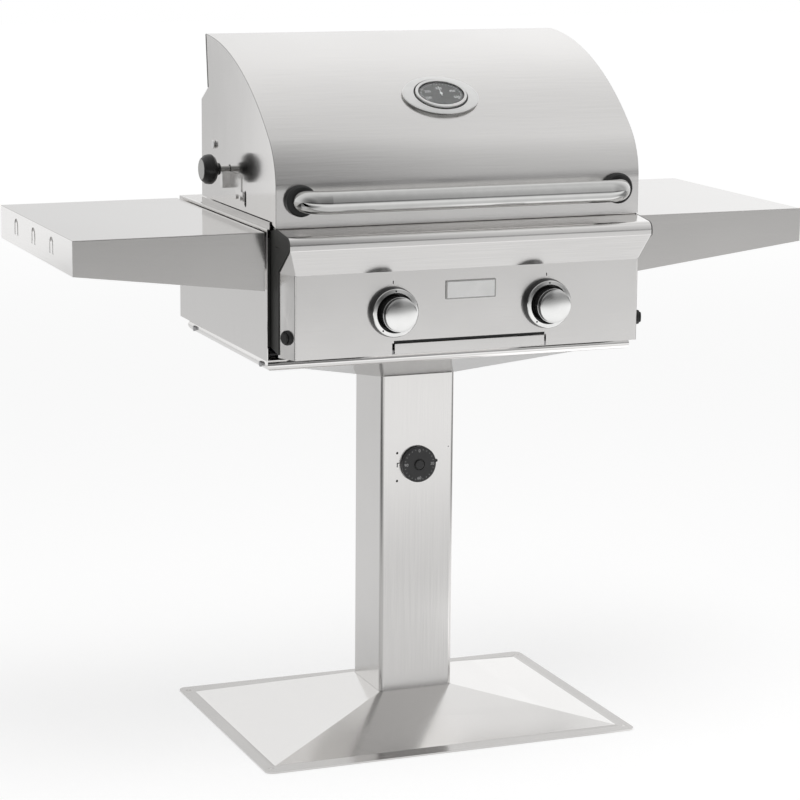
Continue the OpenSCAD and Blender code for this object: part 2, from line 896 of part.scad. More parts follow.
module drip_tray() color(steel)
    difference() {
        union() {
            box(-tray_x, tray_x, tray_front, housing_back + 1.2, tray_z, tray_z + tray_h);
            box(-tray_x - 20, tray_x + 20, housing_back + slip, housing_back + 1.5, floor_z + 3, tray_z + tray_h + 8);
            box(-60, 60, housing_back + slip, housing_back + 22, tray_z + tray_h + 6, tray_z + tray_h + 8);
        }
        box(-tray_x + tray_t, tray_x - tray_t, tray_front + tray_t, housing_back - 2, tray_z + tray_t, tray_z + tray_h + cut);
    }

// Cooking parts inside the firebox

module burner(x) color(steel) {
    front = firebox_front + 28;
    back = firebox_back - 22;
    leg = burner_gap / 2;
    difference() {
        union() {
            rod_y(firebox_front - 4, front, x, knob_z, 22);
            rod_x(x - leg, x + leg, front, knob_z, burner_d);
        }
        rod_y(firebox_front - 5, firebox_front + 14, x, knob_z, 14);
    }
    rod_x(x - leg, x + leg, back, knob_z, burner_d);
    for (s = [-1, 1]) {
        rod_y(front, back, x + s * leg, knob_z, burner_d);
        ball(x + s * leg, front, knob_z, burner_d);
        ball(x + s * leg, back, knob_z, burner_d);
    }
    box(x - 8, x + 8, back + 4, firebox_back - fire_t, knob_z - 2, knob_z + 2);
}

module burner_left()
    burner(-knob_x);

module burner_right()
    burner(knob_x);

module heat_plates() color(iron)
    for (x = [-plate_pitch, 0, plate_pitch])
        along_y(firebox_front + fire_t + 1, firebox_back - fire_t - 1)
            translate([x, plate_z])
                polygon([[-plate_half, 0], [-plate_half + 2, 0], [0, 24], [plate_half - 2, 0], [plate_half, 0], [plate_half, 1.5],
                    [plate_half - 1, 1.5], [0, 26], [-plate_half + 1, 1.5], [-plate_half, 1.5]]);

module cooking_grid() color(iron) {
    x0 = fire_x - fire_t - 2;
    count = floor((x0 - 10) / grid_pitch);
    first = 4 + grid_bar_d / 2;
    for (i = [0 : count])
        rod_y(firebox_front + fire_t + 2, firebox_back - fire_t - 2, -first - i * grid_pitch,
            grid_z + grid_bar_d / 2, grid_bar_d, $fn = 20);
    for (y = [firebox_front + fire_t + 7, firebox_back - fire_t - 7])
        rod_x(-first - count * grid_pitch, -first, y, grid_z + grid_bar_d / 2, grid_bar_d - 0.5);
}

module cooking_grid_left()
    cooking_grid();

module cooking_grid_right()
    mirror([1, 0, 0])
        cooking_grid();

module igniter_electrodes() color([0.9, 0.88, 0.82])
    for (x = [-knob_x, knob_x])
        rod_y(firebox_front - 12, firebox_front + 46, x + 32, knob_z + 16, 7);

// Hood

// Side view of the hood's outer surface, moved inwards by a wall
module hood_outline(i) {
    intersection() {
        translate([crown_y, crown_z])
            circle(r = crown_r - i, $fn = 360);
        union() {
            translate([shoulder_y, shoulder_z])
                circle(r = shoulder_r - i, $fn = 96);
            translate([hood_front + i, hood_z - 20])
                square([shoulder_r, shoulder_z - hood_z + 20]);
            polygon([[shoulder_y, shoulder_z], [shoulder_y - 300, shoulder_z + 300], [shoulder_y - 300, crown_top + 50],
                [lobe_back + 60, crown_top + 50], [lobe_back + 60, hood_z - 20], [shoulder_y, hood_z - 20]]);
        }
    }
}

module hood_skin() color(steel) {
    difference() {
        along_x(-hood_x, hood_x)
            difference() {
                intersection() {
                    hood_outline(0);
                    polygon([[hood_front - 40, hood_z], [hood_front - 40, crown_top + 20], [hood_back, crown_top + 20],
                        [hood_back, crown_top - 1], [notch_y, notch_z], [0, notch_z], [0, hood_z]]);
                }
                intersection() {
                    hood_outline(hood_t);
                    polygon([[hood_front - 40, hood_z - 10], [hood_front - 40, crown_top + 20], [hood_back - hood_t, crown_top + 20],
                        [hood_back - hood_t, crown_top - 1], [notch_y - hood_t, notch_z - cut], [cut, notch_z - cut], [cut, hood_z - 10]]);
                }
            }
        on_gauge()
            translate([0, 0, -10])
                cylinder(h = 20, d = 10);
    }
    box(-hood_x + 6, hood_x - 6, hood_front + hood_t - 0.5, hood_front + 12, hood_z, hood_z + hood_t);
}

module hood_side() color(steel)
    along_x(-side_plate_x, -side_plate_x + hood_t)
        difference() {
            intersection() {
                hood_outline(hood_t);
                polygon([[hood_front, hood_z + 0.5], [hood_front + 36, side_low], [lobe_back, side_low],
                    [lobe_back, lobe_top], [notch_y, notch_z], [notch_y - hood_t, notch_z], [hood_back - hood_t, crown_top],
                    [hood_back - hood_t, crown_top + 20], [hood_front - 40, crown_top + 20], [hood_front - 40, hood_z + 0.5]]);
            }
            translate([pivot_y, pivot_z])
                circle(d = pivot_d);
            translate([spit_y, spit_z])
                circle(d = spit_d + 5);
            for (z = [hood_z + 23, hood_z + 40])
                translate([-90, z])
                    circle(d = 10);
            translate([-95, hood_z + 23])
                square([10, 17]);
        }

module hood_side_left()
    hood_side();

module hood_side_right()
    mirror([1, 0, 0])
        hood_side();

module hood_handle() color(chrome) {
    straight = handle_span / 2 - handle_bend;
    rod_x(-straight, straight, handle_y, handle_z, handle_d);
    both_sides() {
        translate([-straight, handle_y + handle_bend, handle_z])
            rotate([0, 0, 180])
                rotate_extrude(angle = 90)
                    translate([handle_bend, 0])
                        circle(d = handle_d);
        rod_y(handle_y + handle_bend, hood_front, -handle_span / 2, handle_z, handle_d);
    }
}

module handle_gaskets() color(black)
    for (x = [-1, 1])
        translate([x * handle_span / 2, hood_front, handle_z])
            rotate([90, 0, 0])
                rotate_extrude()
                    polygon([[gasket_hole / 2, 0], [gasket_d / 2, 0], [gasket_d / 2, gasket_t - 3],
                        [gasket_d / 2 - 3, gasket_t], [gasket_hole / 2, gasket_t]]);

// Local frame at the thermometer's centre with +Z pointing out of the crown
module on_gauge() {
    translate([0, crown_y - crown_r * sin(gauge_angle), crown_z + crown_r * cos(gauge_angle)])
        rotate([gauge_angle, 0, 0])
            children();
}

module crown_cutter() {
    translate([-gauge_w, 0, 0])
        along_x(0, 2 * gauge_w)
            translate([crown_y, crown_z])
                circle(r = crown_r, $fn = 1440);
}

module thermometer_bezel() color(chrome)
    difference() {
        on_gauge()
            difference() {
                union() {
                    translate([0, 0, -3])
                        linear_extrude(height = 6)
                            polygon(oval(gauge_w, gauge_h));
                    translate([0, 0, 2])
                        linear_extrude(height = 4)
                            polygon(oval(gauge_w - 14, gauge_h - 8));
                    translate([0, 0, 5])
                        linear_extrude(height = gauge_t - 5)
                            polygon(oval(gauge_w - 30, gauge_h - 14));
                }
                translate([0, 0, 5])
                    linear_extrude(height = gauge_t)
                        polygon(oval(gauge_w - 58, gauge_h - 34));
                translate([0, 0, -4])
                    cylinder(h = gauge_t + 4, d = 9);
            }
        crown_cutter();
    }

module thermometer_dial() color(black)
    on_gauge() {
        translate([0, 0, 5])
            linear_extrude(height = 1.5)
                polygon(oval(gauge_w - 59, gauge_h - 35));
        translate([0, 0, -70])
            cylinder(h = 76, d = 8);
    }

module thermometer_glass() color(chrome)
    on_gauge()
        translate([0, 0, 9])
            linear_extrude(height = 1)
                polygon(oval(gauge_w - 59, gauge_h - 35));

module thermometer_needle() color(chrome)
    on_gauge()
        translate([0, 0, 6.8]) {
            cylinder(h = 1.2, d = 5);
            translate([-0.7, -6, 0])
                cube([1.4, 24, 1]);
        }

// Spit

module spit_rod() color(chrome) {
    rod_x(-spit_left, spit_right, spit_y, spit_z, spit_d);
    for (x = [-130, 130])
        translate([x, spit_y, spit_z])
            rotate([0, x > 0 ? -90 : 90, 0]) {
                cylinder(h = 14, d = 22);
                for (s = [-1, 1]) {
                    translate([s * 26, 0, 5])
                        rotate([0, s * 90, 0])
                            translate([0, 0, -16])
                                cylinder(h = 18, d = 5);
                    translate([s * 28, 0, 3])
                        cylinder(h = 80, d = 5);
                }
            }
}

module spit_handle() color(black)
    translate([-knob_near, spit_y, spit_z])
        rotate([0, -90, 0])
            difference() {
                rotate_extrude()
                    polygon([[0, 0], [10, 0], [10.5, 4], [14, 7], [22, 11], [25.5, 17], [25.5, 22], [23, 27], [18, 31],
                        [17.5, 33], [0, 33]]);
                translate([0, 0, -cut])
                    cylinder(h = spit_left - knob_near + cut + slip, d = spit_d);
            }

module spit_brackets() color(steel)
    both_sides() {
        face = side_plate_x;
        difference() {
            union() {
                box(-face - 1.5, -face, spit_y - 64, spit_y - 4, spit_z - 32, spit_z - 4);
                box(-face - 15, -face, spit_y - 5.5, spit_y - 4, spit_z - 32, spit_z - 4);
                box(-face - 1.5, -face, spit_y - 72, spit_y - 34, spit_z - 48, spit_z - 32);
                box(-face - 15, -face - 13.5, spit_y - 5.5, spit_y + 8, spit_z - 32, spit_z - spit_d / 2 - run);
            }
            rod_x(-face - 20, -face + 5, spit_y, spit_z, spit_d + 2 * run);
        }
        for (y = [spit_y - 42, spit_y - 65])
            rod_x(-face - 4.5, -face - 1, y, hood_z + 31, 8);
    }

// Shelves

module shelf_shape(i, low) {
    polygon([[shelf_in + i, shelf_z - i], [shelf_out - i, shelf_z - i], [shelf_out - i, shelf_z - shelf_edge - low],
        [shelf_in + i, shelf_z - shelf_root - low]]);
}

module hook_slit() {
    difference() {
        union() {
            translate([-hook_w / 2, -hook_h / 2])
                square([hook_w, hook_h - hook_w / 2]);
            translate([0, hook_h / 2 - hook_w / 2])
                circle(d = hook_w);
        }
        translate([-hook_w / 2 + hook_slit, -hook_h / 2 - cut])
            square([hook_w - 2 * hook_slit, hook_h - hook_w / 2 + cut]);
        translate([0, hook_h / 2 - hook_w / 2])
            circle(d = hook_w - 2 * hook_slit);
    }
}

module shelf() color(steel) {
    back = housing_back;
    difference() {
        along_y(housing_front, back)
            shelf_shape(0, 0);
        along_y(housing_front + shelf_t, back - shelf_t)
            shelf_shape(shelf_t, cut);
        box(shelf_in - cut, shelf_in + shelf_t + cut, housing_front + 20, back - 20,
            shelf_z - shelf_root - cut, shelf_z - 12);
        for (y = hook_ys)
            translate([shelf_out - 5, y, hook_z])
                rotate([90, 0, 90])
                    linear_extrude(height = 10)
                        hook_slit();
    }
    box(shelf_out - 14, shelf_out - 0.5, housing_front + shelf_t, back - shelf_t,
        shelf_z - shelf_edge, shelf_z - shelf_edge + shelf_t);
}

module shelf_right()
    shelf();

module shelf_left()
    mirror([1, 0, 0])
        shelf();

module shelf_brackets() color(dark_metal)
    both_sides() {
        for (y = [housing_front + 73, housing_back - 87]) {
            difference() {
                along_y(y, y + 3)
                    polygon([[-side_x, shelf_z - shelf_t], [-shelf_out + 60, shelf_z - shelf_t],
                        [-shelf_out + 60, shelf_z - 16], [-side_x, shelf_z - 76]]);
                box(-shelf_in - shelf_t - slip, -shelf_in + slip, y - cut, y + 3 + cut, shelf_z - 12 - slip, shelf_z);
            }
            box(-side_x - 3, -side_x, y, y + 34, shelf_z - 76, shelf_z - 14);
            box(-shelf_out + 60, -shelf_in - 10, y, y + 22, shelf_z - shelf_t - 3, shelf_z - shelf_t);
            for (z = [shelf_z - 28, shelf_z - 60])
                translate([-side_x - 3, y + 20, z])
                    rotate([0, -90, 0])
                        hex_head(12, 4);
        }
    }

base_plate();
post_tube();
post_end_plates();
post_bolts();
head_pan();
head_pan_bolts();
gas_supply_pipe();
gas_riser_pipe();
timer_valve();
timer_dial();
housing_side_left();
housing_side_right();
housing_rear_panel();
rear_screen();
firebox();
hinge_bracket_left();
hinge_bracket_right();
hood_pivot_bolts();
end_plate_left();
end_plate_right();
control_panel();
front_rail();
badge_plate();
manifold_pipe();
valve_left();
valve_right();
stem_left();
stem_right();
knob_bezel_left();
knob_bezel_right();
knob_left();
knob_right();
burner_left();
burner_right();
heat_plates();
cooking_grid_left();
cooking_grid_right();
igniter_electrodes();
igniter_module();
button_sockets();
ignition_button();
light_button();
instruction_plate();
drip_tray();
tray_runners();
hood_skin();
hood_side_left();
hood_side_right();
hood_handle();
handle_gaskets();
thermometer_bezel();
thermometer_dial();
thermometer_glass();
thermometer_needle();
spit_rod();
spit_handle();
spit_brackets();
shelf_left();
shelf_right();
shelf_brackets();
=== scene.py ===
"""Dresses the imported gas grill: finer sheet metal, finishes, studio and camera."""

import functools
import logging
import math
import operator
from collections.abc import Callable, Sequence
from dataclasses import dataclass
from enum import Enum
from typing import NamedTuple

import bmesh
import bpy
from mathutils import Matrix, Vector


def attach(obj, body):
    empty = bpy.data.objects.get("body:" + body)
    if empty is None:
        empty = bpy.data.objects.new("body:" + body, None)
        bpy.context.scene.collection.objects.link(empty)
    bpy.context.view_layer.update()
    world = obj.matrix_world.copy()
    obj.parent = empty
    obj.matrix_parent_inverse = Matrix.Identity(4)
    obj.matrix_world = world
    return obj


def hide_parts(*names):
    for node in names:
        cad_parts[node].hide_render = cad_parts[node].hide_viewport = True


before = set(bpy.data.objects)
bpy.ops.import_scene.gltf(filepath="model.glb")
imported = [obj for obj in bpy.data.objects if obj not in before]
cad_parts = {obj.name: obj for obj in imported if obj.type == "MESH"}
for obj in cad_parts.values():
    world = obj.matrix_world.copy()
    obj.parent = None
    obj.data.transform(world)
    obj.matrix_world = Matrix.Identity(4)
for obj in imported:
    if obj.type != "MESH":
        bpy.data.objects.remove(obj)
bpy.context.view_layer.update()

log = logging.getLogger("grill")

MM = 0.001
WELD = 0.000002
NEAR = 0.0005
TO_FRONT = (0.0, -1.0, 0.0)
WHITE = (1.0, 1.0, 1.0, 1.0)
NOISE_RANGE = (0.3, 0.7)
NUMBER_SIZE = 5.6
PRINT_SPAN = (-0.05, 0.12)
GLYPH_SHARE = 1.35
BENT = 0.05
STRAIGHT = math.pi - 0.02
FLAT_DEGREES = 0.6
Point = tuple[float, float, float]
Flat = tuple[float, float]
Path = tuple[Flat, ...]
Rings = tuple[Point, ...]
Piece = bpy.types.Object
Element = bmesh.types.BMVert | bmesh.types.BMEdge | bmesh.types.BMFace


class Grain(Enum):
    """The axis along which a sheet was brushed."""

    ALONG_X = 0
    ALONG_Y = 1
    ALONG_Z = 2


class Plane(Enum):
    """The plane that a flat profile is drawn in, by the number of the axis it is swept along."""

    YZ = 0
    XZ = 1
    XY = 2


class Select(Enum):
    """What a test selects in edit mode, by the name of its list in the mesh."""

    VERT = "verts"
    EDGE = "edges"
    FACE = "faces"


class Slope(Enum):
    """How a step of a value runs from its start to its end."""

    SOFT = "SMOOTHSTEP"
    EVEN = "LINEAR"


# ---- finishes ----


@dataclass(frozen=True)
class Value:
    """A value in a node tree that can be reckoned with."""

    shader: "Shader"
    socket: bpy.types.NodeSocket

    def maths(self, operation: str, *others: "Value") -> "Value":
        """Reckon with this value and others.

        Args:
            operation: The Math node's operation.
            others: The other values that it takes.

        Returns:
            The result.
        """
        made = self.shader.node("Math", operation=operation)
        for value, target in zip((self, *others), made.inputs):
            self.shader.link(value.socket, target)
        return Value(self.shader, made.outputs[0])

    def __add__(self, other: "Value") -> "Value":
        """The sum."""
        return self.maths("ADD", other)

    def __mul__(self, other: "Value") -> "Value":
        """The product."""
        return self.maths("MULTIPLY", other)

    def ramp(
        self, start: float, end: float, low: float, high: float, slope: Slope = Slope.SOFT
    ) -> "Value":
        """A step from one value to another.

        Args:
            start: Where the step begins.
            end: Where it ends.
            low: The result before it.
            high: The result after it.
            slope: How it runs between them.

        Returns:
            The stepped value.
        """
        made = self.shader.node("MapRange", interpolation_type=slope.value)
        limits = {"From Min": start, "From Max": end, "To Min": low, "To Max": high}
        for key, value in limits.items():
            made.inputs[key].default_value = value
        self.shader.link(self.socket, made.inputs["Value"])
        return Value(self.shader, made.outputs["Result"])

    def between(self, low: float, high: float) -> "Value":
        """Spread a noise pattern's middle range over low to high."""
        return self.ramp(*NOISE_RANGE, low, high, Slope.EVEN)


class Shader:
    """A small builder for the nodes of one material or world."""

    def __init__(self, owner: bpy.types.Material | bpy.types.World) -> None:
        """Take over the node tree of a new material or world."""
        owner.use_nodes = True
        self.owner, self.tree = owner, owner.node_tree

    @classmethod
    def of(cls, name: str) -> "Shader":
        """Start a new material."""
        return cls(bpy.data.materials.new(name))

    @property
    def body(self) -> bpy.types.Node:
        """The material's own shader."""
        return self.tree.nodes["Principled BSDF"]

    def node(self, kind: str, **values: object) -> bpy.types.Node:
        """Add a node and set its properties.

        Args:
            kind: The node's type name, without the ShaderNode prefix.
            values: Properties of the node.

        Returns:
            The new node.
        """
        made = self.tree.nodes.new("ShaderNode" + kind)
        for key, value in values.items():
            setattr(made, key, value)
        return made

    def output(self, kind: str, name: str) -> Value:
        """Add a node and give the output of that name."""
        return Value(self, self.node(kind).outputs[name])

    def link(self, source: bpy.types.NodeSocket, target: bpy.types.NodeSocket) -> None:
        """Join an output to an input."""
        self.tree.links.new(source, target)

    def noise(self, scale: Sequence[float], detail: float) -> Value:
        """A noise pattern on object coordinates.

        Args:
            scale: Repeats per metre along x, y and z.
            detail: Octaves of the noise.

        Returns:
            The noise value, from 0 to 1.
        """
        mapping = self.node("Mapping")
        mapping.inputs["Scale"].default_value = scale
        self.link(self.output("TexCoord", "Object").socket, mapping.inputs["Vector"])
        made = self.node("TexNoise")
        made.inputs["Scale"].default_value = 1.0
        made.inputs["Detail"].default_value = detail
        self.link(mapping.outputs["Vector"], made.inputs["Vector"])
        return Value(self, made.outputs["Fac"])

    def blend(self, factor: Value, low: Value | float, high: Value | float) -> Value:
        """Blend two values.

        Args:
            factor: The share of the second one.
            low: The first value.
            high: The second value.

        Returns:
            The blend.
        """
        made = self.node("Mix", data_type="FLOAT")
        for key, value in (("Factor", factor), ("A", low), ("B", high)):
            if isinstance(value, Value):
                self.link(value.socket, made.inputs[key])
            else:
                made.inputs[key].default_value = value
        return Value(self, made.outputs["Result"])

    def tint(self, value: Value, colour: Point, shade: float) -> None:
        """Vary the base colour.

        Args:
            value: The pattern, from 0 to 1.
            colour: The colour at 1.
            shade: The share of it that is left at 0.
        """
        mix = self.node("Mix", data_type="RGBA")
        mix.inputs["A"].default_value = (*(part * shade for part in colour), 1.0)
        mix.inputs["B"].default_value = (*colour, 1.0)
        self.link(value.socket, mix.inputs["Factor"])
        self.link(mix.outputs["Result"], self.body.inputs["Base Color"])

    def rough(self, value: Value) -> None:
        """Drive the roughness."""
        self.link(value.socket, self.body.inputs["Roughness"])

    def relief(self, value: Value, depth: float, strength: float) -> None:
        """Drive the normal from a height pattern.

        Args:
            value: The height, from 0 to 1.
            depth: The height in metres of a full step.
            strength: The share of the relief that shows.
        """
        bump = self.node("Bump")
        bump.inputs["Distance"].default_value = depth
        bump.inputs["Strength"].default_value = strength
        self.link(value.socket, bump.inputs["Height"])
        self.link(bump.outputs["Normal"], self.body.inputs["Normal"])

    def put(self, **values: object) -> None:
        """Set the shader's own sockets, by name with spaces as underscores."""
        for key, value in values.items():
            self.body.inputs[key.replace("_", " ")].default_value = value

    def patches(self, where: Value, rows: Sequence[Sequence["Step"]]) -> Value:
        """Light by place: each row's steps multiplied, and the rows added up.

        Args:
            where: The place or the direction.
            rows: The rows of steps.

        Returns:
            The light.
        """
        parts = self.node("SeparateXYZ")
        self.link(where.socket, parts.inputs[0])
        axes = {axis: Value(self, parts.outputs[axis]) for axis in "XYZ"}
        axes |= {f"|{axis}|": value.maths("ABSOLUTE") for axis, value in axes.items()}
        lights = [
            functools.reduce(operator.mul, [axes[axis].ramp(*step) for axis, *step in row])
            for row in rows
        ]
        return functools.reduce(operator.add, lights)


@dataclass(frozen=True)
class BrushedSteel:
    """Stainless sheet, brushed in one direction, with soft smears."""

    name: str
    grain: Grain
    tone: float
    roughness: float = 0.2
    spread: float = 0.04
    stretch: float = 0.8
    warmth: float = 0.012
    shade: float = 0.93
    across: float = 1100.0
    along: float = 9.0
    smears: Point = (5.0, 5.0, 7.0)
    depth: float = 0.00002

    def material(self) -> bpy.types.Material:
        """Build the node material."""
        made = Shader.of(self.name)
        axis = self.grain.value
        scale = [self.across] * 3
        scale[axis] = self.along
        strokes = made.noise(scale, 3.0)
        smears = made.noise(self.smears, 3.0).between(-0.02, 0.03)
        colour = (self.tone + self.warmth, self.tone, self.tone - self.warmth)
        made.tint(strokes.between(0.0, 1.0), colour, self.shade)
        limits = (self.roughness - self.spread, self.roughness + self.spread)
        made.rough(strokes.between(*limits) + smears)
        made.relief(strokes, self.depth, 0.35)
        tangent = made.node("Tangent", direction_type="RADIAL", axis="XYZ"[axis])
        made.link(tangent.outputs["Tangent"], made.body.inputs["Tangent"])
        made.put(Metallic=1.0, Anisotropic=self.stretch)
        return made.owner


@dataclass(frozen=True)
class Polished:
    """Bright polished or plated metal with faint wear."""

    name: str
    tone: Point = (0.88, 0.88, 0.88)
    roughness: float = 0.07
    shade: float = 0.95
    wear: float = 60.0
    haze: float = 25.0

    def material(self) -> bpy.types.Material:
        """Build the node material."""
        made = Shader.of(self.name)
        made.tint(made.noise((self.wear,) * 3, 4.0).between(0.0, 1.0), self.tone, self.shade)
        haze = made.noise((self.haze,) * 3, 3.0)
        made.rough(haze.between(self.roughness, self.roughness + 0.05))
        made.put(Metallic=1.0)
        return made.owner


@dataclass(frozen=True)
class Coated:
    """Painted, plated or moulded surface with fine texture."""

    name: str
    colour: Point
    roughness: float
    metallic: float = 0.0
    shade: float = 0.85
    grit: float = 900.0
    broad: float = 14.0
    depth: float = 0.00004

    def material(self) -> bpy.types.Material:
        """Build the node material."""
        made = Shader.of(self.name)
        grit = made.noise((self.grit,) * 3, 3.0)
        broad = made.noise((self.broad,) * 3, 3.0)
        made.tint(broad.between(0.0, 1.0), self.colour, self.shade)
        made.rough(grit.between(self.roughness - 0.06, self.roughness + 0.06))
        made.relief(grit, self.depth, 0.5)
        made.put(Metallic=self.metallic)
        return made.owner


@dataclass(frozen=True)
class ClearGlass:
    """Thin clear cover glass."""

    name: str
    haze: float = 40.0

    def material(self) -> bpy.types.Material:
        """Build the node material."""
        made = Shader.of(self.name)
        made.rough(made.noise((self.haze,) * 3, 2.0).between(0.0, 0.03))
        made.put(Base_Color=(0.97, 0.98, 0.98, 1.0), Transmission_Weight=1.0, IOR=1.3)
        return made.owner


class Finish(Enum):
    """Every finish of the grill."""

    PANEL = BrushedSteel("panel_steel", Grain.ALONG_X, 0.84)
    HOOD = BrushedSteel("hood_steel", Grain.ALONG_X, 0.89, 0.17)
    SIDE = BrushedSteel("side_steel", Grain.ALONG_Z, 0.82, 0.12, 0.02, 0.4)
    POST = BrushedSteel("post_steel", Grain.ALONG_Z, 0.8, 0.18)
    # Painted shade: a darker copy of the post's steel for its rounded corners.
    POST_EDGE = BrushedSteel("post_edge_steel", Grain.ALONG_Z, 0.62)
    NOSE = BrushedSteel("nose_steel", Grain.ALONG_X, 0.9, 0.11, 0.03)
    PAN = BrushedSteel("pan_steel", Grain.ALONG_X, 0.95, 0.12, 0.02, 0.4)
    BASE = BrushedSteel("base_steel", Grain.ALONG_X, 0.97, 0.16, 0.04, 0.5)
    # Painted shade: darker copies of the base steel for its back and right faces, front faces and
    # flat rim; the front one is also brushed along Y, which is real grain.
    BASE_BACK = BrushedSteel("base_back_steel", Grain.ALONG_X, 0.84, 0.16, 0.04, 0.5)
    BASE_FRONT = BrushedSteel("base_front_steel", Grain.ALONG_Y, 0.88, 0.15, 0.05, 0.3)
    BASE_RIM = BrushedSteel("base_rim_steel", Grain.ALONG_X, 0.6, 0.22, 0.05)
    SHELF = BrushedSteel("shelf_steel", Grain.ALONG_X, 0.64, 0.09, 0.02, 0.3)
    # Painted light: a brighter copy of the shelf steel for the shelf ends.
    SHELF_END = BrushedSteel("shelf_end_steel", Grain.ALONG_Y, 0.96, 0.16, 0.03)
    # Painted shade: a darker copy of the brushed steel for aprons, the lips under the hood and the
    # nose's end facets.
    APRON = BrushedSteel("apron_steel", Grain.ALONG_X, 0.64)
    INNER = BrushedSteel("inner_steel", Grain.ALONG_X, 0.6, 0.34, 0.05)
    CHROME = Polished("chrome")
    CHROME_DARK = Polished("dark_chrome", (0.42, 0.42, 0.41), 0.2)
    SATIN = Polished("satin_chrome", (0.92, 0.92, 0.91), 0.13)
    SATIN_TUBE = Polished("satin_tube", (0.68, 0.68, 0.67))
    RING = Polished("bright_ring", (1.0, 1.0, 0.99), 0.5)
    BRASS = Polished("brass", (0.72, 0.56, 0.27), 0.25)
    ENAMEL = Coated("dark_enamel", (0.032, 0.032, 0.03), 0.4)
    ZINC = Coated("zinc_plate", (0.5, 0.5, 0.51), 0.4, 1.0)
    PLASTIC = Coated("black_phenolic", (0.018, 0.018, 0.018), 0.28)
    TIMER = Coated("timer_phenolic", (0.045, 0.045, 0.046), 0.36)
    RUBBER = Coated("black_rubber", (0.02, 0.02, 0.02), 0.5)
    END_COAT = Coated("end_coat", (0.06, 0.06, 0.057), 0.62)
    DIAL = Coated("dial_paint", (0.085, 0.085, 0.084), 0.45)
    CERAMIC = Coated("glazed_ceramic", (0.85, 0.83, 0.77), 0.2)
    PRINT = Coated("white_print", (0.75, 0.75, 0.75), 0.5)
    GLASS = ClearGlass("cover_glass")

    @functools.cache
    def material(self) -> bpy.types.Material:
        """The finish's material, built at its first use."""
        return self.value.material()


# ---- modelling by operators ----


def rest_bench() -> None:
    """Leave edit mode and select nothing."""
    if bpy.context.object and bpy.context.object.mode != "OBJECT":
        bpy.ops.object.mode_set(mode="OBJECT")
    bpy.ops.object.select_all(action="DESELECT")


def pick(obj: Piece) -> None:
    """Make one object the only selected and active one."""
    rest_bench()
    obj.select_set(True)
    bpy.context.view_layer.objects.active = obj


def settle() -> None:
    """Keep the active object's place, turn and size in its mesh."""
    bpy.ops.object.transform_apply(location=True, rotation=True, scale=True)


def take_all() -> None:
    """Select everything in edit mode."""
    bpy.ops.mesh.select_all(action="SELECT")


def begin(name: str) -> Piece:
    """Name the new object, settle it and select all of it in edit mode.

    Args:
        name: The object's name.

    Returns:
        The object.
    """
    obj = bpy.context.object
    obj.name = name
    settle()
    bpy.ops.object.mode_set(mode="EDIT")
    take_all()
    return obj


def weld(reach: float = WELD) -> None:
    """Merge all corners that lie within a reach in metres."""
    take_all()
    bpy.ops.mesh.remove_doubles(threshold=reach)


def extrude(step: Sequence[float]) -> None:
    """Extrude what is selected by a step in metres."""
    bpy.ops.mesh.extrude_region_move(TRANSFORM_OT_translate={"value": step})


def outwards() -> None:
    """Point every face of the edited closed mesh outwards."""
    take_all()
    bpy.ops.mesh.normals_make_consistent(inside=False)


def close_ends() -> None:
    """Fill the open ends of the edited mesh."""
    take_all()
    bpy.ops.mesh.fill_holes(sides=0)
    outwards()


def choose(obj: Piece, kind: Select, test: Callable[[Element], bool]) -> int:
    """Select what a test picks, in edit mode.

    Args:
        obj: The piece.
        kind: Whether corners, edges or faces are selected.
        test: Takes a corner, an edge or a face and says whether it is selected.

    Returns:
        How many were picked.
    """
    if obj.mode != "EDIT":
        pick(obj)
        bpy.ops.object.mode_set(mode="EDIT")
    bpy.ops.mesh.select_mode(type=kind.name)
    bpy.ops.mesh.select_all(action="DESELECT")
    mesh = bmesh.from_edit_mesh(obj.data)
    found = [element for element in getattr(mesh, kind.value) if test(element)]
    for element in found:
        element.select_set(True)
    bmesh.update_edit_mesh(obj.data)
    return len(found)


def polar(wide: float, tall: float, angle: float) -> Flat:
    """The point of an ellipse at an angle in degrees."""
    return (wide * math.cos(math.radians(angle)), tall * math.sin(math.radians(angle)))


def arc(centre: Flat, radius: float, start: float, end: float, steps: int) -> list[Flat]:
    """Points on an arc in equal steps from one angle in degrees to another, ends included."""
    turns = [polar(radius, radius, start + (end - start) * i / steps) for i in range(steps + 1)]
    return [(centre[0] + a, centre[1] + b) for a, b in turns]


def rectangle(low: Flat, high: Flat) -> Path:
    """The outline of an upright rectangle, from its low and high corners."""
    return (low, (high[0], low[1]), high, (low[0], high[1]))


def rounded(
    points: Sequence[Flat], radius: float, steps: int = 4, closed: bool = False
) -> list[Flat]:
    """Round the corners of a chain of points.

    Args:
        points: The chain.
        radius: The radius at each corner, made smaller where a side is short.
        steps: The steps of each arc.
        closed: Whether the chain returns to its start.

    Returns:
        The chain with arcs for corners.
    """
    count = len(points)
    made: list[Flat] = []
    for i, point in enumerate(points):
        here = Vector(point)
        before = Vector(points[i - 1]) - here
        after = Vector(points[(i + 1) % count]) - here
        is_end = not closed and i in (0, count - 1)
        if is_end or radius <= 0.0 or before.angle(after) > STRAIGHT:
            made.append(point)
            continue
        slope = math.tan(before.angle(after) / 2.0)
        reach = min(radius / slope, 0.45 * before.length, 0.45 * after.length)
        size = reach * slope
        before, after = before.normalized(), after.normalized()
        middle = here + (before + after).normalized() * math.hypot(reach, size)
        for k in range(steps + 1):
            aim = (here + before * reach).lerp(here + after * reach, k / steps) - middle
            made.append(tuple(middle + aim.normalized() * size))
    return made


def spot(plane: Plane, point: Flat, along: float) -> Vector:
    """The place in metres of a point of a plane, and its place along the normal, in millimetres."""
    axis = plane.value
    return Vector((*point[:axis], along, *point[axis:])) * MM


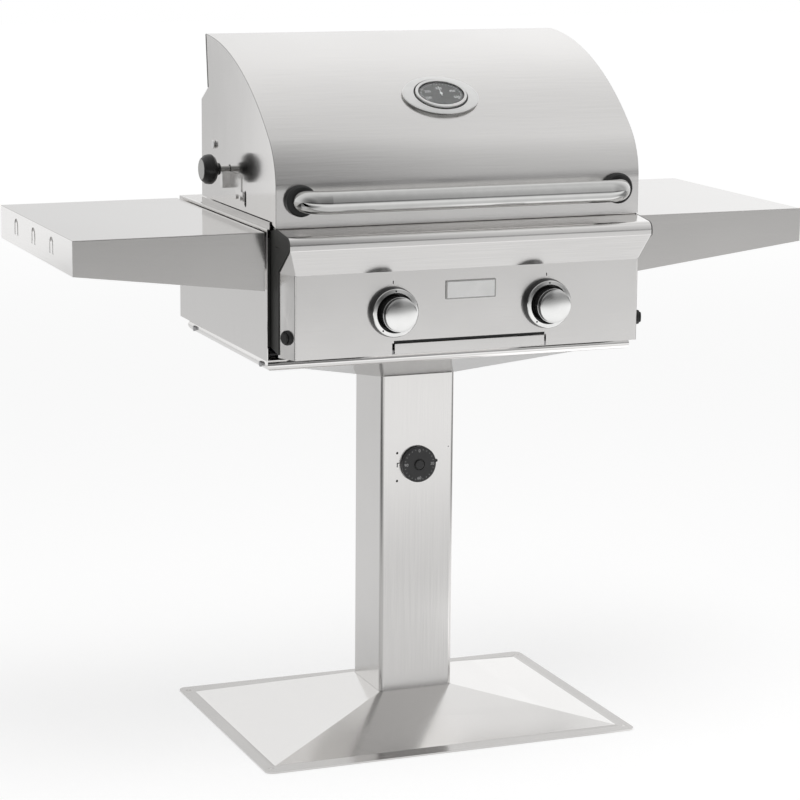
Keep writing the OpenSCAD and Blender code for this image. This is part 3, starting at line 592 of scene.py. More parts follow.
def trace(
    name: str, plane: Plane, points: Sequence[Flat], along: float = 0.0, closed: bool = False
) -> Piece:
    """Draw a profile as a chain of edges, by extruding one vertex from point to point.

    Args:
        name: The new object's name.
        plane: The plane of the profile.
        points: The profile's points in millimetres.
        along: The place along the plane's normal in millimetres.
        closed: Whether the chain returns to its first point.

    Returns:
        The object, in edit mode with everything selected.
    """
    rest_bench()
    spots = [spot(plane, point, along) for point in points]
    if closed:
        spots.append(spots[0])
    bpy.ops.mesh.primitive_plane_add(size=0.002, location=spots[0])
    obj = begin(name)
    bpy.ops.mesh.select_mode(type="VERT")
    take_all()
    bpy.ops.mesh.merge(type="CENTER")
    for before, after in zip(spots, spots[1:]):
        extrude(after - before)
    weld()
    take_all()
    return obj


def sweep(plane: Plane, length: float) -> None:
    """Extrude what is selected along a plane's normal, by a length in millimetres."""
    extrude(spot(plane, (0, 0), length))


def away_from(obj: Piece, inside: Point) -> None:
    """Turn an open sheet's faces away from a point.

    Args:
        obj: The sheet, in edit mode.
        inside: The point in metres that lies behind the sheet.
    """
    outwards()
    faces = bmesh.from_edit_mesh(obj.data).faces
    behind = Vector(inside)
    if sum(f.normal.dot(f.calc_center_median() - behind) * f.calc_area() for f in faces) < 0.0:
        bpy.ops.mesh.flip_normals()


def seat(obj: Piece, place: Matrix) -> Piece:
    """Move a piece that was built at the origin to its place, and keep it in its mesh.

    Args:
        obj: The piece.
        place: The frame it goes to.

    Returns:
        The same piece, in object mode.
    """
    pick(obj)
    obj.matrix_world = place
    settle()
    return obj


def spun(angle: float) -> Matrix:
    """A turn about Z by an angle in degrees."""
    return Matrix.Rotation(math.radians(angle), 4, "Z")


def facing(origin: Point, ahead: Point = TO_FRONT, across: Point = (1.0, 0.0, 0.0)) -> Matrix:
    """A frame with Z ahead.

    Args:
        origin: The frame's origin in millimetres.
        ahead: The direction of its Z axis.
        across: The direction of its X axis, made square to Z.

    Returns:
        The frame in metres.
    """
    z = Vector(ahead).normalized()
    x = (Vector(across) - z * z.dot(Vector(across))).normalized()
    turn = Matrix((x, z.cross(x), z)).transposed().to_4x4()
    return Matrix.Translation(Vector(origin) * MM) @ turn


@dataclass(frozen=True)
class Turning:
    """A profile of radius and height pairs in millimetres, turned round its own axis."""

    points: Path
    soft: float
    steps: int = 2
    closed: bool = True
    count: int = 120

    def make(self, name: str, place: Matrix) -> Piece:
        """Round the profile's corners, turn it and seat it.

        Args:
            name: The new piece's name.
            place: The frame whose Z is the axis.

        Returns:
            The piece, seated, in object mode.
        """
        profile = rounded(self.points, self.soft, self.steps, self.closed)
        obj = trace(name, Plane.XZ, profile, closed=self.closed)
        bpy.ops.mesh.spin(steps=self.count, angle=math.tau, center=(0, 0, 0), axis=(0, 0, 1))
        weld(5 * WELD)
        outwards()
        return seat(obj, place)


def stacked(name: str, rings: Rings, place: Matrix, filled: bool = False) -> Piece:
    """Build an oval piece ring by ring with extrude and resize.

    Args:
        name: The new piece's name.
        rings: Half width, half height and height of each ring in millimetres.
        place: The frame that the rings stand on.
        filled: Whether the last ring is closed with a face.

    Returns:
        The piece, seated, in object mode.
    """
    rest_bench()
    wide, tall, high = rings[0]
    bpy.ops.mesh.primitive_circle_add(
        vertices=128, radius=MM, fill_type="NOTHING", location=(0, 0, high * MM)
    )
    obj = begin(name)
    bpy.ops.transform.resize(value=(wide, tall, 1.0), center_override=(0, 0, 0))
    for (wide, tall, high), (wider, taller, higher) in zip(rings, rings[1:]):
        extrude((0, 0, (higher - high) * MM))
        growth = (wider / wide, taller / tall, 1.0)
        bpy.ops.transform.resize(value=growth, center_override=(0, 0, higher * MM))
    if filled:
        bpy.ops.mesh.edge_face_add()
    weld()
    outwards()
    return seat(obj, place)


def plate(name: str, outline: Sequence[Flat], span: Flat, place: Matrix) -> Piece:
    """A flat piece with a drawn outline.

    Args:
        name: The new piece's name.
        outline: The outline in the frame's XY plane, in millimetres.
        span: The heights of the lower and the upper face.
        place: The frame.

    Returns:
        The piece, seated, in object mode.
    """
    obj = trace(name, Plane.XY, outline, span[0], True)
    bpy.ops.mesh.edge_face_add()
    take_all()
    sweep(Plane.XY, span[1] - span[0])
    outwards()
    return seat(obj, place)


def box(middle: Sequence[float], size: Sequence[float]) -> Piece:
    """A block, from its middle and its size in millimetres.

    Args:
        middle: The block's middle.
        size: Its size along x, y and z.

    Returns:
        The block, to be worked on.
    """
    rest_bench()
    bpy.ops.mesh.primitive_cube_add(size=1.0, location=Vector(middle) * MM)
    obj = bpy.context.object
    obj.scale = Vector(size) * MM
    settle()
    return obj


def lettering(name: str, text: str, at: Flat, high: float, place: Matrix) -> Piece:
    """A plain number as a thin raised print.

    Args:
        name: The new piece's name.
        text: The number.
        at: Its middle on the frame.
        high: The height of the surface that carries it.
        place: The frame.

    Returns:
        The print, seated, in object mode.
    """
    rest_bench()
    bpy.ops.object.text_add()
    bpy.context.object.name = name
    data = bpy.context.object.data
    data.body = text
    data.size = NUMBER_SIZE * GLYPH_SHARE * MM
    data.extrude = 0.05 * MM
    data.resolution_u = 3
    data.align_x = data.align_y = "CENTER"
    bpy.ops.object.convert(target="MESH")
    return seat(bpy.context.object, place @ Matrix.Translation(Vector((*at, high)) * MM))


def joined(name: str, pieces: Sequence[Piece]) -> Piece:
    """Join several objects into one.

    Args:
        name: The joined piece's name.
        pieces: The objects.

    Returns:
        The joined object.
    """
    pick(pieces[0])
    for piece in pieces[1:]:
        piece.select_set(True)
    bpy.ops.object.join()
    pieces[0].name = name
    return pieces[0]


def modify(obj: Piece, kind: str, **values: object) -> None:
    """Add a modifier to a piece, set it and apply it.

    Args:
        obj: The piece.
        kind: The modifier's type.
        values: Its properties.
    """
    made = obj.modifiers.new("shape", kind)
    for key, value in values.items():
        setattr(made, key, value)
    pick(obj)
    bpy.ops.object.modifier_apply(modifier="shape")


def wall(obj: Piece, thickness: float) -> None:
    """Give an open sheet its thickness in millimetres, grown against its normals."""
    modify(obj, "SOLIDIFY", thickness=thickness * MM, offset=-1.0, use_even_offset=True)


def ease(obj: Piece, width: float, segments: int = 2, angle: float = 35.0) -> None:
    """Round the edges sharper than an angle in degrees, to a width in millimetres."""
    modify(obj, "BEVEL", width=width * MM, segments=segments, limit_method="ANGLE",
        angle_limit=math.radians(angle), use_clamp_overlap=True)


def fold(obj: Piece, width: float, segments: int, test: Callable[[Vector, Vector], bool]) -> None:
    """Round the edges that a test picks.

    Args:
        obj: The piece.
        width: The bevel's width in millimetres.
        segments: Its number of segments.
        test: Takes an edge's two ends in metres and says whether it is rounded.
    """
    if choose(obj, Select.EDGE, lambda edge: len(edge.link_faces) == 2
            and edge.calc_face_angle(0.0) > BENT and test(*(vert.co for vert in edge.verts))):
        bpy.ops.mesh.bevel(offset=width * MM, segments=segments, affect="EDGES",
            clamp_overlap=True)
    rest_bench()


def coat(obj: Piece, finish: Finish) -> None:
    """Give an object one finish."""
    obj.data.materials.clear()
    obj.data.materials.append(finish.material())


def hand_over(
    obj: Piece, body: str, slot: str, finish: Finish, *nodes: str, angle: float = 32.0
) -> None:
    """Finish a piece: smooth it, let its large flat faces stay flat, and seat it on its body.

    Args:
        obj: The piece.
        body: The CAD body it rides on.
        slot: The record's material slot; not used.
        finish: Its finish.
        nodes: The CAD nodes it stands for.
        angle: Edges flatter than this shade smooth, in degrees.
    """
    pick(obj)
    bpy.ops.object.shade_smooth_by_angle(angle=math.radians(angle))
    modify(obj, "WEIGHTED_NORMAL", mode="FACE_AREA", weight=100, keep_sharp=True)
    coat(obj, finish)
    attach(obj, body)
    if nodes:
        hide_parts(*nodes)
    log.info("%s on %s", obj.name, body)


def paint_light_by_facing(obj: Piece, finish: Finish, test: Callable[[Vector], bool]) -> None:
    """Paint light and shade by which way faces look: the faces that a test picks by their normal
    get a lighter or darker material of their own.

    Args:
        obj: The piece.
        finish: The lighter or darker material, which paints light or shade.
        test: Takes a face's normal and says whether it gets the finish.
    """
    obj.data.materials.append(finish.material())
    choose(obj, Select.FACE, lambda face: test(face.normal))
    obj.active_material_index = len(obj.data.materials) - 1
    bpy.ops.object.material_slot_assign()
    rest_bench()


def copy_of(node: str) -> Piece:
    """A merged copy of a CAD node, with flat faces joined up.

    Args:
        node: The CAD node.

    Returns:
        The copy.
    """
    rest_bench()
    obj = bpy.data.objects.new(node + "_finished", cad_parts[node].data.copy())
    bpy.context.scene.collection.objects.link(obj)
    pick(obj)
    bpy.ops.object.mode_set(mode="EDIT")
    take_all()
    bpy.ops.mesh.customdata_custom_splitnormals_clear()
    weld()
    take_all()
    bpy.ops.mesh.dissolve_limited(angle_limit=math.radians(FLAT_DEGREES))
    rest_bench()
    return obj


def refined(body: str, slot: str, finish: Finish, width: float, *nodes: str) -> Piece:
    """Stand merged copies with eased edges in for CAD nodes.

    Args:
        body: The body they ride on.
        slot: The record's material slot.
        finish: Their finish.
        width: The width of the eased edges in millimetres, 0 for none.
        nodes: The CAD nodes.

    Returns:
        The last of the new pieces.
    """
    for node in nodes:
        obj = copy_of(node)
        if width:
            ease(obj, width, angle=30.0)
        hand_over(obj, body, slot, finish, node)
    return obj


def paint(finish: Finish, *nodes: str) -> None:
    """Put a finish on CAD nodes that stay."""
    for node in nodes:
        coat(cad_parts[node], finish)
        log.info("%s painted", node)


# ---- sub-assemblies ----


@dataclass
class Pedestal:
    """Floor plate, post, pan and timer."""

    post_front: float = -65.0
    ridge_top: float = 59.5
    ridge_x: float = 60.0
    ridge_foot: Flat = (1.0, 10.0)
    rim_front: float = -200.0
    rim_middle: float = 693.0
    rim_lift: float = 2.6
    dial_radius: float = 32.0
    dial_z: float = 470.0
    dial_back: float = -67.0
    dial_depth: float = 6.0
    hub_radius: float = 8.0
    dial_numbers: tuple[str, ...] = ("0", "30", "60", "90")
    mark_dots: Path = ((-39.0, 22.0), (-39.0, -28.0))
    mark_tee: Path = (
        (-39.5, -4.0), (-37.8, -4.0), (-37.8, 2.6), (-34.0, 2.6), (-34.0, 4.2), (-39.5, 4.2),
    )

    def build(self) -> None:
        """Build and dress the pedestal."""
        base = copy_of("base_plate")
        fold(base, 1.6, 2, self.is_ridge)
        hand_over(base, "root", "steel", Finish.BASE, "base_plate", angle=25.0)
        # Painted shade by the way faces look: the front faces, the back and right faces and the
        # flat rim get darker copies of the base steel. The front's grain along Y is real.
        paint_light_by_facing(base, Finish.BASE_FRONT, lambda normal: normal.y < -0.2)
        paint_light_by_facing(base, Finish.BASE_BACK,
            lambda normal: normal.z < 0.99 and max(normal.x, normal.y) > 0.05)
        paint_light_by_facing(base, Finish.BASE_RIM, lambda normal: normal.z > 0.995)
        post = refined("root", "steel", Finish.POST, 0.8, "post_tube")
        # Painted shade: the post's rounded corner faces get a darker copy of its steel.
        paint_light_by_facing(post, Finish.POST_EDGE,
            lambda normal: 0.3 < abs(normal.x) < 0.97 and abs(normal.z) < 0.1)
        self.build_pan()
        paint(Finish.ZINC, "post_end_plates", "post_bolts", "head_pan_bolts")
        paint(Finish.ENAMEL, "gas_supply_pipe")
        paint(Finish.BRASS, "gas_riser_pipe", "timer_valve")
        self.build_dial()
        self.print_marks()

    def build_pan(self) -> None:
        """The head pan, with its front rim pressed up to close the gap under the panel."""
        pan = copy_of("head_pan")
        choose(pan, Select.VERT,
            lambda vert: vert.co.y < self.rim_front * MM and vert.co.z > self.rim_middle * MM)
        bpy.ops.transform.translate(value=(0, 0, self.rim_lift * MM))
        hand_over(pan, "root", "steel", Finish.PAN, "head_pan")

    def is_ridge(self, a: Vector, b: Vector) -> bool:
        """Whether an edge is one of the pyramid's four outer ridges."""
        foot, top = sorted((a / MM, b / MM), key=lambda end: end.z)
        rises = self.ridge_foot[0] < foot.z < self.ridge_foot[1] and top.z > self.ridge_top
        return rises and abs(top.x) > self.ridge_x

    def build_dial(self) -> None:
        """The timer's dial with its hub, pointer tab, numbers and ticks."""
        place = facing((0.0, self.dial_back, self.dial_z))
        radius, depth, hub = self.dial_radius, self.dial_depth, self.hub_radius
        profile = (
            (0, -20), (3.9, -20), (3.9, 0), (radius, 0), (radius, depth - 1.2),
            (radius - 2.2, depth), (hub + 2.2, depth), (hub + 1.6, depth - 1.4),
            (hub + 0.4, depth - 1.4), (hub, depth + 1.6), (hub - 1.2, depth + 2.2),
            (0, depth + 2.2),
        )
        disc = Turning(profile, 0.4, closed=False).make("timer_disc", place)
        corners = [(radius - 2, -3.2), (radius + 3.4, -2.0), (radius + 3.4, 2.0), (radius - 2, 3.2)]
        tab = plate("timer_tab", rounded(corners, 0.6, 2, True), (1.0, depth - 1.5),
            place @ spun(8))
        dial = joined("timer_dial_finished", [disc, tab])
        hand_over(dial, "timer", "black_plastic", Finish.TIMER, "timer_dial")
        prints = []
        for i, text in enumerate(self.dial_numbers):
            at = polar(radius - 7.5, radius - 7.5, 90 - 90 * i)
            prints.append(lettering(f"timer_number_{i}", text, at, depth + 0.05, place))
        tick = rectangle((radius - 6.0, -0.3), (radius - 4.0, 0.3))
        for i in (step for step in range(24) if step % 6):
            span = (depth - 0.02, depth + 0.06)
            prints.append(plate(f"timer_tick_{i}", tick, span, place @ spun(15 * i)))
        numbers = joined("timer_numbers", prints)
        hand_over(numbers, "timer", "black_plastic", Finish.PRINT)

    def print_marks(self) -> None:
        """Plain marks on the post round the dial."""
        place = facing((0.0, self.post_front, self.dial_z))
        outlines = [
            rounded([(x - 2.6, z - 2.2), (x + 1.2, z - 2.8), (x + 2.6, z + 0.4),
                (x - 0.6, z + 2.8)], 1.4, 4, True)
            for x, z in self.mark_dots
        ]
        outlines += [self.mark_tee, arc((58.0, 27.0), 0.9, 0, 330, 11)]
        marks = []
        for i, outline in enumerate(outlines):
            marks.append(plate(f"post_mark_{i}", outline, PRINT_SPAN, place))
        hand_over(joined("post_marks", marks), "root", "black_plastic", Finish.PLASTIC)


@dataclass
class Housing:
    """Side sheets, firebox and what they hold."""

    collar_x: float = 320.0
    collar_sheet: float = 1.5
    collar_y: Flat = (-234.0, 140.0)
    collar_z: Flat = (912.0, 931.0)
    lip_x: float = 328.5
    lip_sheet: float = 1.2
    lip_y: Flat = (-221.0, 140.0)
    lip_z: Flat = (917.2, 930.2)

    def build(self) -> None:
        """Build and dress the housing."""
        refined("root", "steel", Finish.SIDE, 0.5, "housing_side_left", "housing_side_right")
        refined("root", "steel", Finish.PANEL, 0.4, "housing_rear_panel", "rear_screen")
        refined("root", "steel", Finish.INNER, 0.3, "firebox", "heat_plates", "burner_left",
            "burner_right", "hinge_bracket_left", "hinge_bracket_right")
        refined("root", "steel", Finish.INNER, 0.0, "cooking_grid_left", "cooking_grid_right")
        self.build_strips("firebox_collar", Finish.SIDE, self.collar_x, self.collar_sheet,
            self.collar_y, self.collar_z)
        # The lips take the darker copy of the steel: painted shade in the gap under the hood sides.
        self.build_strips("housing_lips", Finish.APRON, self.lip_x, self.lip_sheet,
            self.lip_y, self.lip_z)
        refined("root", "chrome", Finish.CHROME, 0.8, "hood_pivot_bolts")
        refined("tray", "steel", Finish.PANEL, 0.3, "drip_tray")
        paint(Finish.ZINC, "tray_runners", "stem_left", "stem_right")
        paint(Finish.ENAMEL, "manifold_pipe")
        paint(Finish.BRASS, "valve_left", "valve_right")
        paint(Finish.PLASTIC, "igniter_module")
        paint(Finish.CERAMIC, "igniter_electrodes")

    def build_strips(
        self, name: str, finish: Finish, outer: float, sheet: float, along: Flat, height: Flat
    ) -> None:
        """A pair of upright strips, one on each side, that close the gap beside the hood.

        Args:
            name: The pair's name.
            finish: Its finish.
            outer: Outer face's distance from the middle.
            sheet: Thickness.
            along: Front and back.
            height: Low and high.
        """
        strips = []
        for sign in (-1, 1):
            middle = (sign * (outer - sheet / 2), sum(along) / 2, sum(height) / 2)
            strips.append(box(middle, (sheet, along[1] - along[0], height[1] - height[0])))
            ease(strips[-1], 0.4)
        hand_over(joined(name, strips), "root", "steel", finish)


@dataclass
class ControlPanel:
    """Front sheet, nose, knobs and buttons."""

    half: float = 308.0
    end: float = 323.0
    front: float = -290.0
    chamfer_back: float = -255.5
    top: float = 850.0
    nose_front: float = -308.0
    nose_top: float = 920.7
    nose_low: float = 892.7
    nose_r: float = 14.0
    nose_drop: float = 5.5
    rail_back: float = -236.0
    inside: Point = (0.0, -0.24, 0.86)
    sheet: float = 1.5
    slot_half: float = 136.0
    slot_z: Flat = (729.0, 734.5)
    # A black strip behind the top of the slot: painted shade where the housing's inside lies in
    # shade.
    seal: Path = rectangle((-139, 729.8), (139, 738))
    badge_z: float = 814.5
    badge_edge: Flat = (45, 15.6)
    badge_inner: Flat = (42.6, 13.4)
    knob_x: float = 138.0
    knob_z: float = 783.0
    dot_radius: float = 36.2
    dot_angles: Flat = (90.0, 232.0)
    tick: Path = rectangle((-0.8, 46.5), (0.8, 51.5))
    cup: Turning = Turning((
        (10, 0), (42, 0), (42, 2), (40.6, 12.0), (32.7, 12.0), (32.5, 3), (10, 3),
    ), 0.5)
    ring: Turning = Turning((
        (32.2, 11.4), (40.0, 11.4), (40.2, 12.2), (39.0, 13.2), (33.6, 14.0), (32.2, 13.2),
    ), 0.6, 3)
    knob: Turning = Turning((
        (4.1, 6.4), (28.9, 6.4), (28.9, 8.4), (27.4, 9.6), (27.4, 38.4), (4.1, 38.4),
    ), 0.5)
    knob_edge: Turning = Turning(rectangle((27.2, 29.0), (29.0, 30.4)), 0.4, 3)
    cap_middle: Flat = (0, -139.0)
    cap_radius: float = 180.0
    cap_side: Path = ((27.8, 38.6), (27.8, 37.6), (26.0, 37.4), (0, 37.4))
    button_at: Point = (315.5, -272.75, 747.0)
    button_ahead: Point = (0.917, -0.399, 0.0)
    socket: Turning = Turning((
        (4.9, -9), (6.1, -9), (6.1, 0), (12.3, 0), (12.3, 2.5), (11.0, 5.2), (9.3, 5.5),
        (9.3, 1.5), (4.9, 1.5),
    ), 0.6, 3, count=64)
    button: Turning = Turning((
        (0, -9), (4.5, -9), (4.5, 5.3), (9.0, 5.3), (9.0, 7.2), (7.4, 8.5), (0, 8.5),
    ), 0.7, 3, False, 64)

    def build(self) -> None:
        """Build and dress the panel."""
        panel = copy_of("control_panel")
        self.cut_slot(panel)
        fold(panel, 2.6, 4, self.is_panel_fold)
        ease(panel, 0.35, 2, 40.0)
        hand_over(panel, "root", "steel", Finish.PANEL, "control_panel")
        self.build_nose()
        # Painted shade: a black strip behind the slot, where there is only shade.
        seal = plate("panel_slot_seal", self.seal, (-2.9, -1.9), facing((0.0, self.front, 0.0)))
        hand_over(seal, "root", "black_rubber", Finish.RUBBER)
        refined("root", "dark_metal", Finish.END_COAT, 0.4, "end_plate_left", "end_plate_right")
        self.build_badge()
        for side, sign in (("left", -1), ("right", 1)):
            self.build_knob(side, sign)
            self.build_button(side, sign)
        refined("slide_plate", "steel", Finish.PANEL, 0.3, "instruction_plate")

    def cut_slot(self, panel: Piece) -> None:
        """Open the narrow slot above the instruction plate.

        Args:
            panel: The panel's copy.
        """
        low, high = self.slot_z
        cutter = box((0.0, self.front + 1.0, (low + high) / 2),
            (2 * self.slot_half, 8.0, high - low))
        modify(panel, "BOOLEAN", operation="DIFFERENCE", object=cutter)
        pick(cutter)
        bpy.ops.object.delete()

    def is_panel_fold(self, a: Vector, b: Vector) -> bool:
        """Whether an edge is one of the panel's two upright folds."""
        upright = abs(a.x - b.x) < NEAR and abs(a.y - b.y) < NEAR
        return upright and abs(abs(a.x) - self.half * MM) < 3 * MM and a.y < (self.front + 5) * MM

    def build_nose(self) -> None:
        """The rounded nose, the face that slopes back to the panel and its two end facets."""
        y, z = self.nose_front + self.nose_r, self.nose_top - self.nose_drop - self.nose_r
        run = rounded([(self.rail_back, self.nose_top), (self.rail_back - 14.0, self.nose_top),
            (y, z + self.nose_r)], 40.0, 6)[:-1]
        run += arc((y, z), self.nose_r, 90, 180, 14)
        run += rounded([(self.nose_front, z - 1.0), (self.nose_front, self.nose_low),
            (self.front, self.top)], 5.0, 5)
        obj = trace("front_rail_finished", Plane.YZ, run, -self.end)
        for length in (self.end - self.half, 2 * self.half, self.end - self.half):
            sweep(Plane.YZ, length)
        choose(obj, Select.VERT, lambda vert: abs(vert.co.x) > (self.end - 1) * MM
            and vert.co.z < (self.top + 0.5) * MM)
        bpy.ops.transform.translate(value=(0, (self.chamfer_back - self.front) * MM, 0))
        for sign in (-1, 1):
            ends = (spot(Plane.YZ, run[-2], sign * self.end),
                spot(Plane.YZ, run[-1], sign * self.half))
            choose(obj, Select.VERT,
                lambda vert: any((vert.co - end).length < 0.1 * MM for end in ends))
            bpy.ops.mesh.vert_connect()
        away_from(obj, self.inside)
        wall(obj, self.sheet)
        fold(obj, 2.2, 3, self.is_nose_fold)
        hand_over(obj, "root", "steel", Finish.NOSE, "front_rail", angle=30.0)
        # Painted shade: the nose's two end facets get the darker copy of the steel.
        paint_light_by_facing(obj, Finish.APRON,
            lambda normal: abs(normal.x) > 0.3 and normal.z < -0.2)

    def is_nose_fold(self, a: Vector, b: Vector) -> bool:
        """Whether an edge runs from the nose down to a corner of the panel."""
        low, high = sorted((a, b), key=lambda end: end.z)
        near = abs(abs(low.x) - self.half * MM) < NEAR and abs(low.z - self.top * MM) < NEAR
        return near and high.z > (self.top + 20) * MM and low.y < (self.front + 0.1) * MM

    def build_badge(self) -> None:
        """A bare framed plate."""
        place = facing((0.0, self.front, self.badge_z))
        for name, (x, z), soft, span, edge, segments, finish, nodes in (
            ("badge_plate_finished", self.badge_edge, 1.6, (0.0, 2.0), 0.5, 3,
                Finish.CHROME_DARK, ["badge_plate"]),
            ("badge_face", self.badge_inner, 1.0, (1.5, 2.5), 0.3, 2, Finish.RING, []),
        ):
            outline = rounded(rectangle((-x, -z), (x, z)), soft, 4, True)
            made = plate(name, outline, span, place)
            ease(made, edge, segments)
            hand_over(made, "root", "chrome", finish, *nodes)

    def build_knob(self, side: str, sign: int) -> None:
        """The fixed bezel with its marks, and the knob with a nearly flat chrome cap.

        Args:
            side: The knob's side.
            sign: -1 for the left side, 1 for the right side.
        """
        place = facing((sign * self.knob_x, self.front, self.knob_z))
        cup = self.cup.make(f"knob_bezel_{side}_finished", place)
        hand_over(cup, "root", "black_plastic", Finish.PLASTIC, "knob_bezel_" + side)
        ring = self.ring.make(f"knob_ring_{side}", place)
        hand_over(ring, "root", "chrome", Finish.SATIN)
        marks = []
        for i, angle in enumerate(self.dot_angles):
            dot = arc(polar(self.dot_radius, self.dot_radius, angle), 1.5, 0, 330, 11)
            marks.append(plate(f"ring_dot_{side}_{i}", dot, (13.0, 13.9), place))
        marks.append(plate(f"ring_tick_{side}", self.tick, PRINT_SPAN, place))
        hand_over(joined(f"knob_marks_{side}", marks), "root", "black_plastic", Finish.PLASTIC)
        body = side + "_knob"
        knob = self.knob.make(f"knob_{side}_finished", place)
        hand_over(knob, body, "black_plastic", Finish.PLASTIC, "knob_" + side)
        hand_over(self.knob_edge.make(f"knob_edge_{side}", place), body, "chrome", Finish.CHROME)
        face = arc(self.cap_middle, self.cap_radius, 90, 81.7, 12)
        points = (*face, *rounded([face[-1], *self.cap_side], 0.9, 5)[1:])
        cap = Turning(points, 0.0, closed=False).make(f"knob_cap_{side}", place)
        hand_over(cap, body, "chrome", Finish.SATIN)

    def build_button(self, side: str, sign: int) -> None:
        """The push button and its socket on the panel's angled end.

        Args:
            side: The button's side.
            sign: -1 for the left side, 1 for the right side.
        """
        flip = Matrix.Diagonal((sign, 1.0, 1.0))
        place = facing(flip @ Vector(self.button_at), flip @ Vector(self.button_ahead), (0, 0, 1))
        body = "light" if sign > 0 else "ignition"
        nodes = ["button_sockets"] if sign < 0 else []
        socket = self.socket.make(f"button_socket_{side}", place)
        hand_over(socket, "root", "black_plastic", Finish.RUBBER, *nodes)
        cap = self.button.make(f"{body}_button_finished", place)
        hand_over(cap, body, "black_plastic", Finish.PLASTIC, body + "_button")


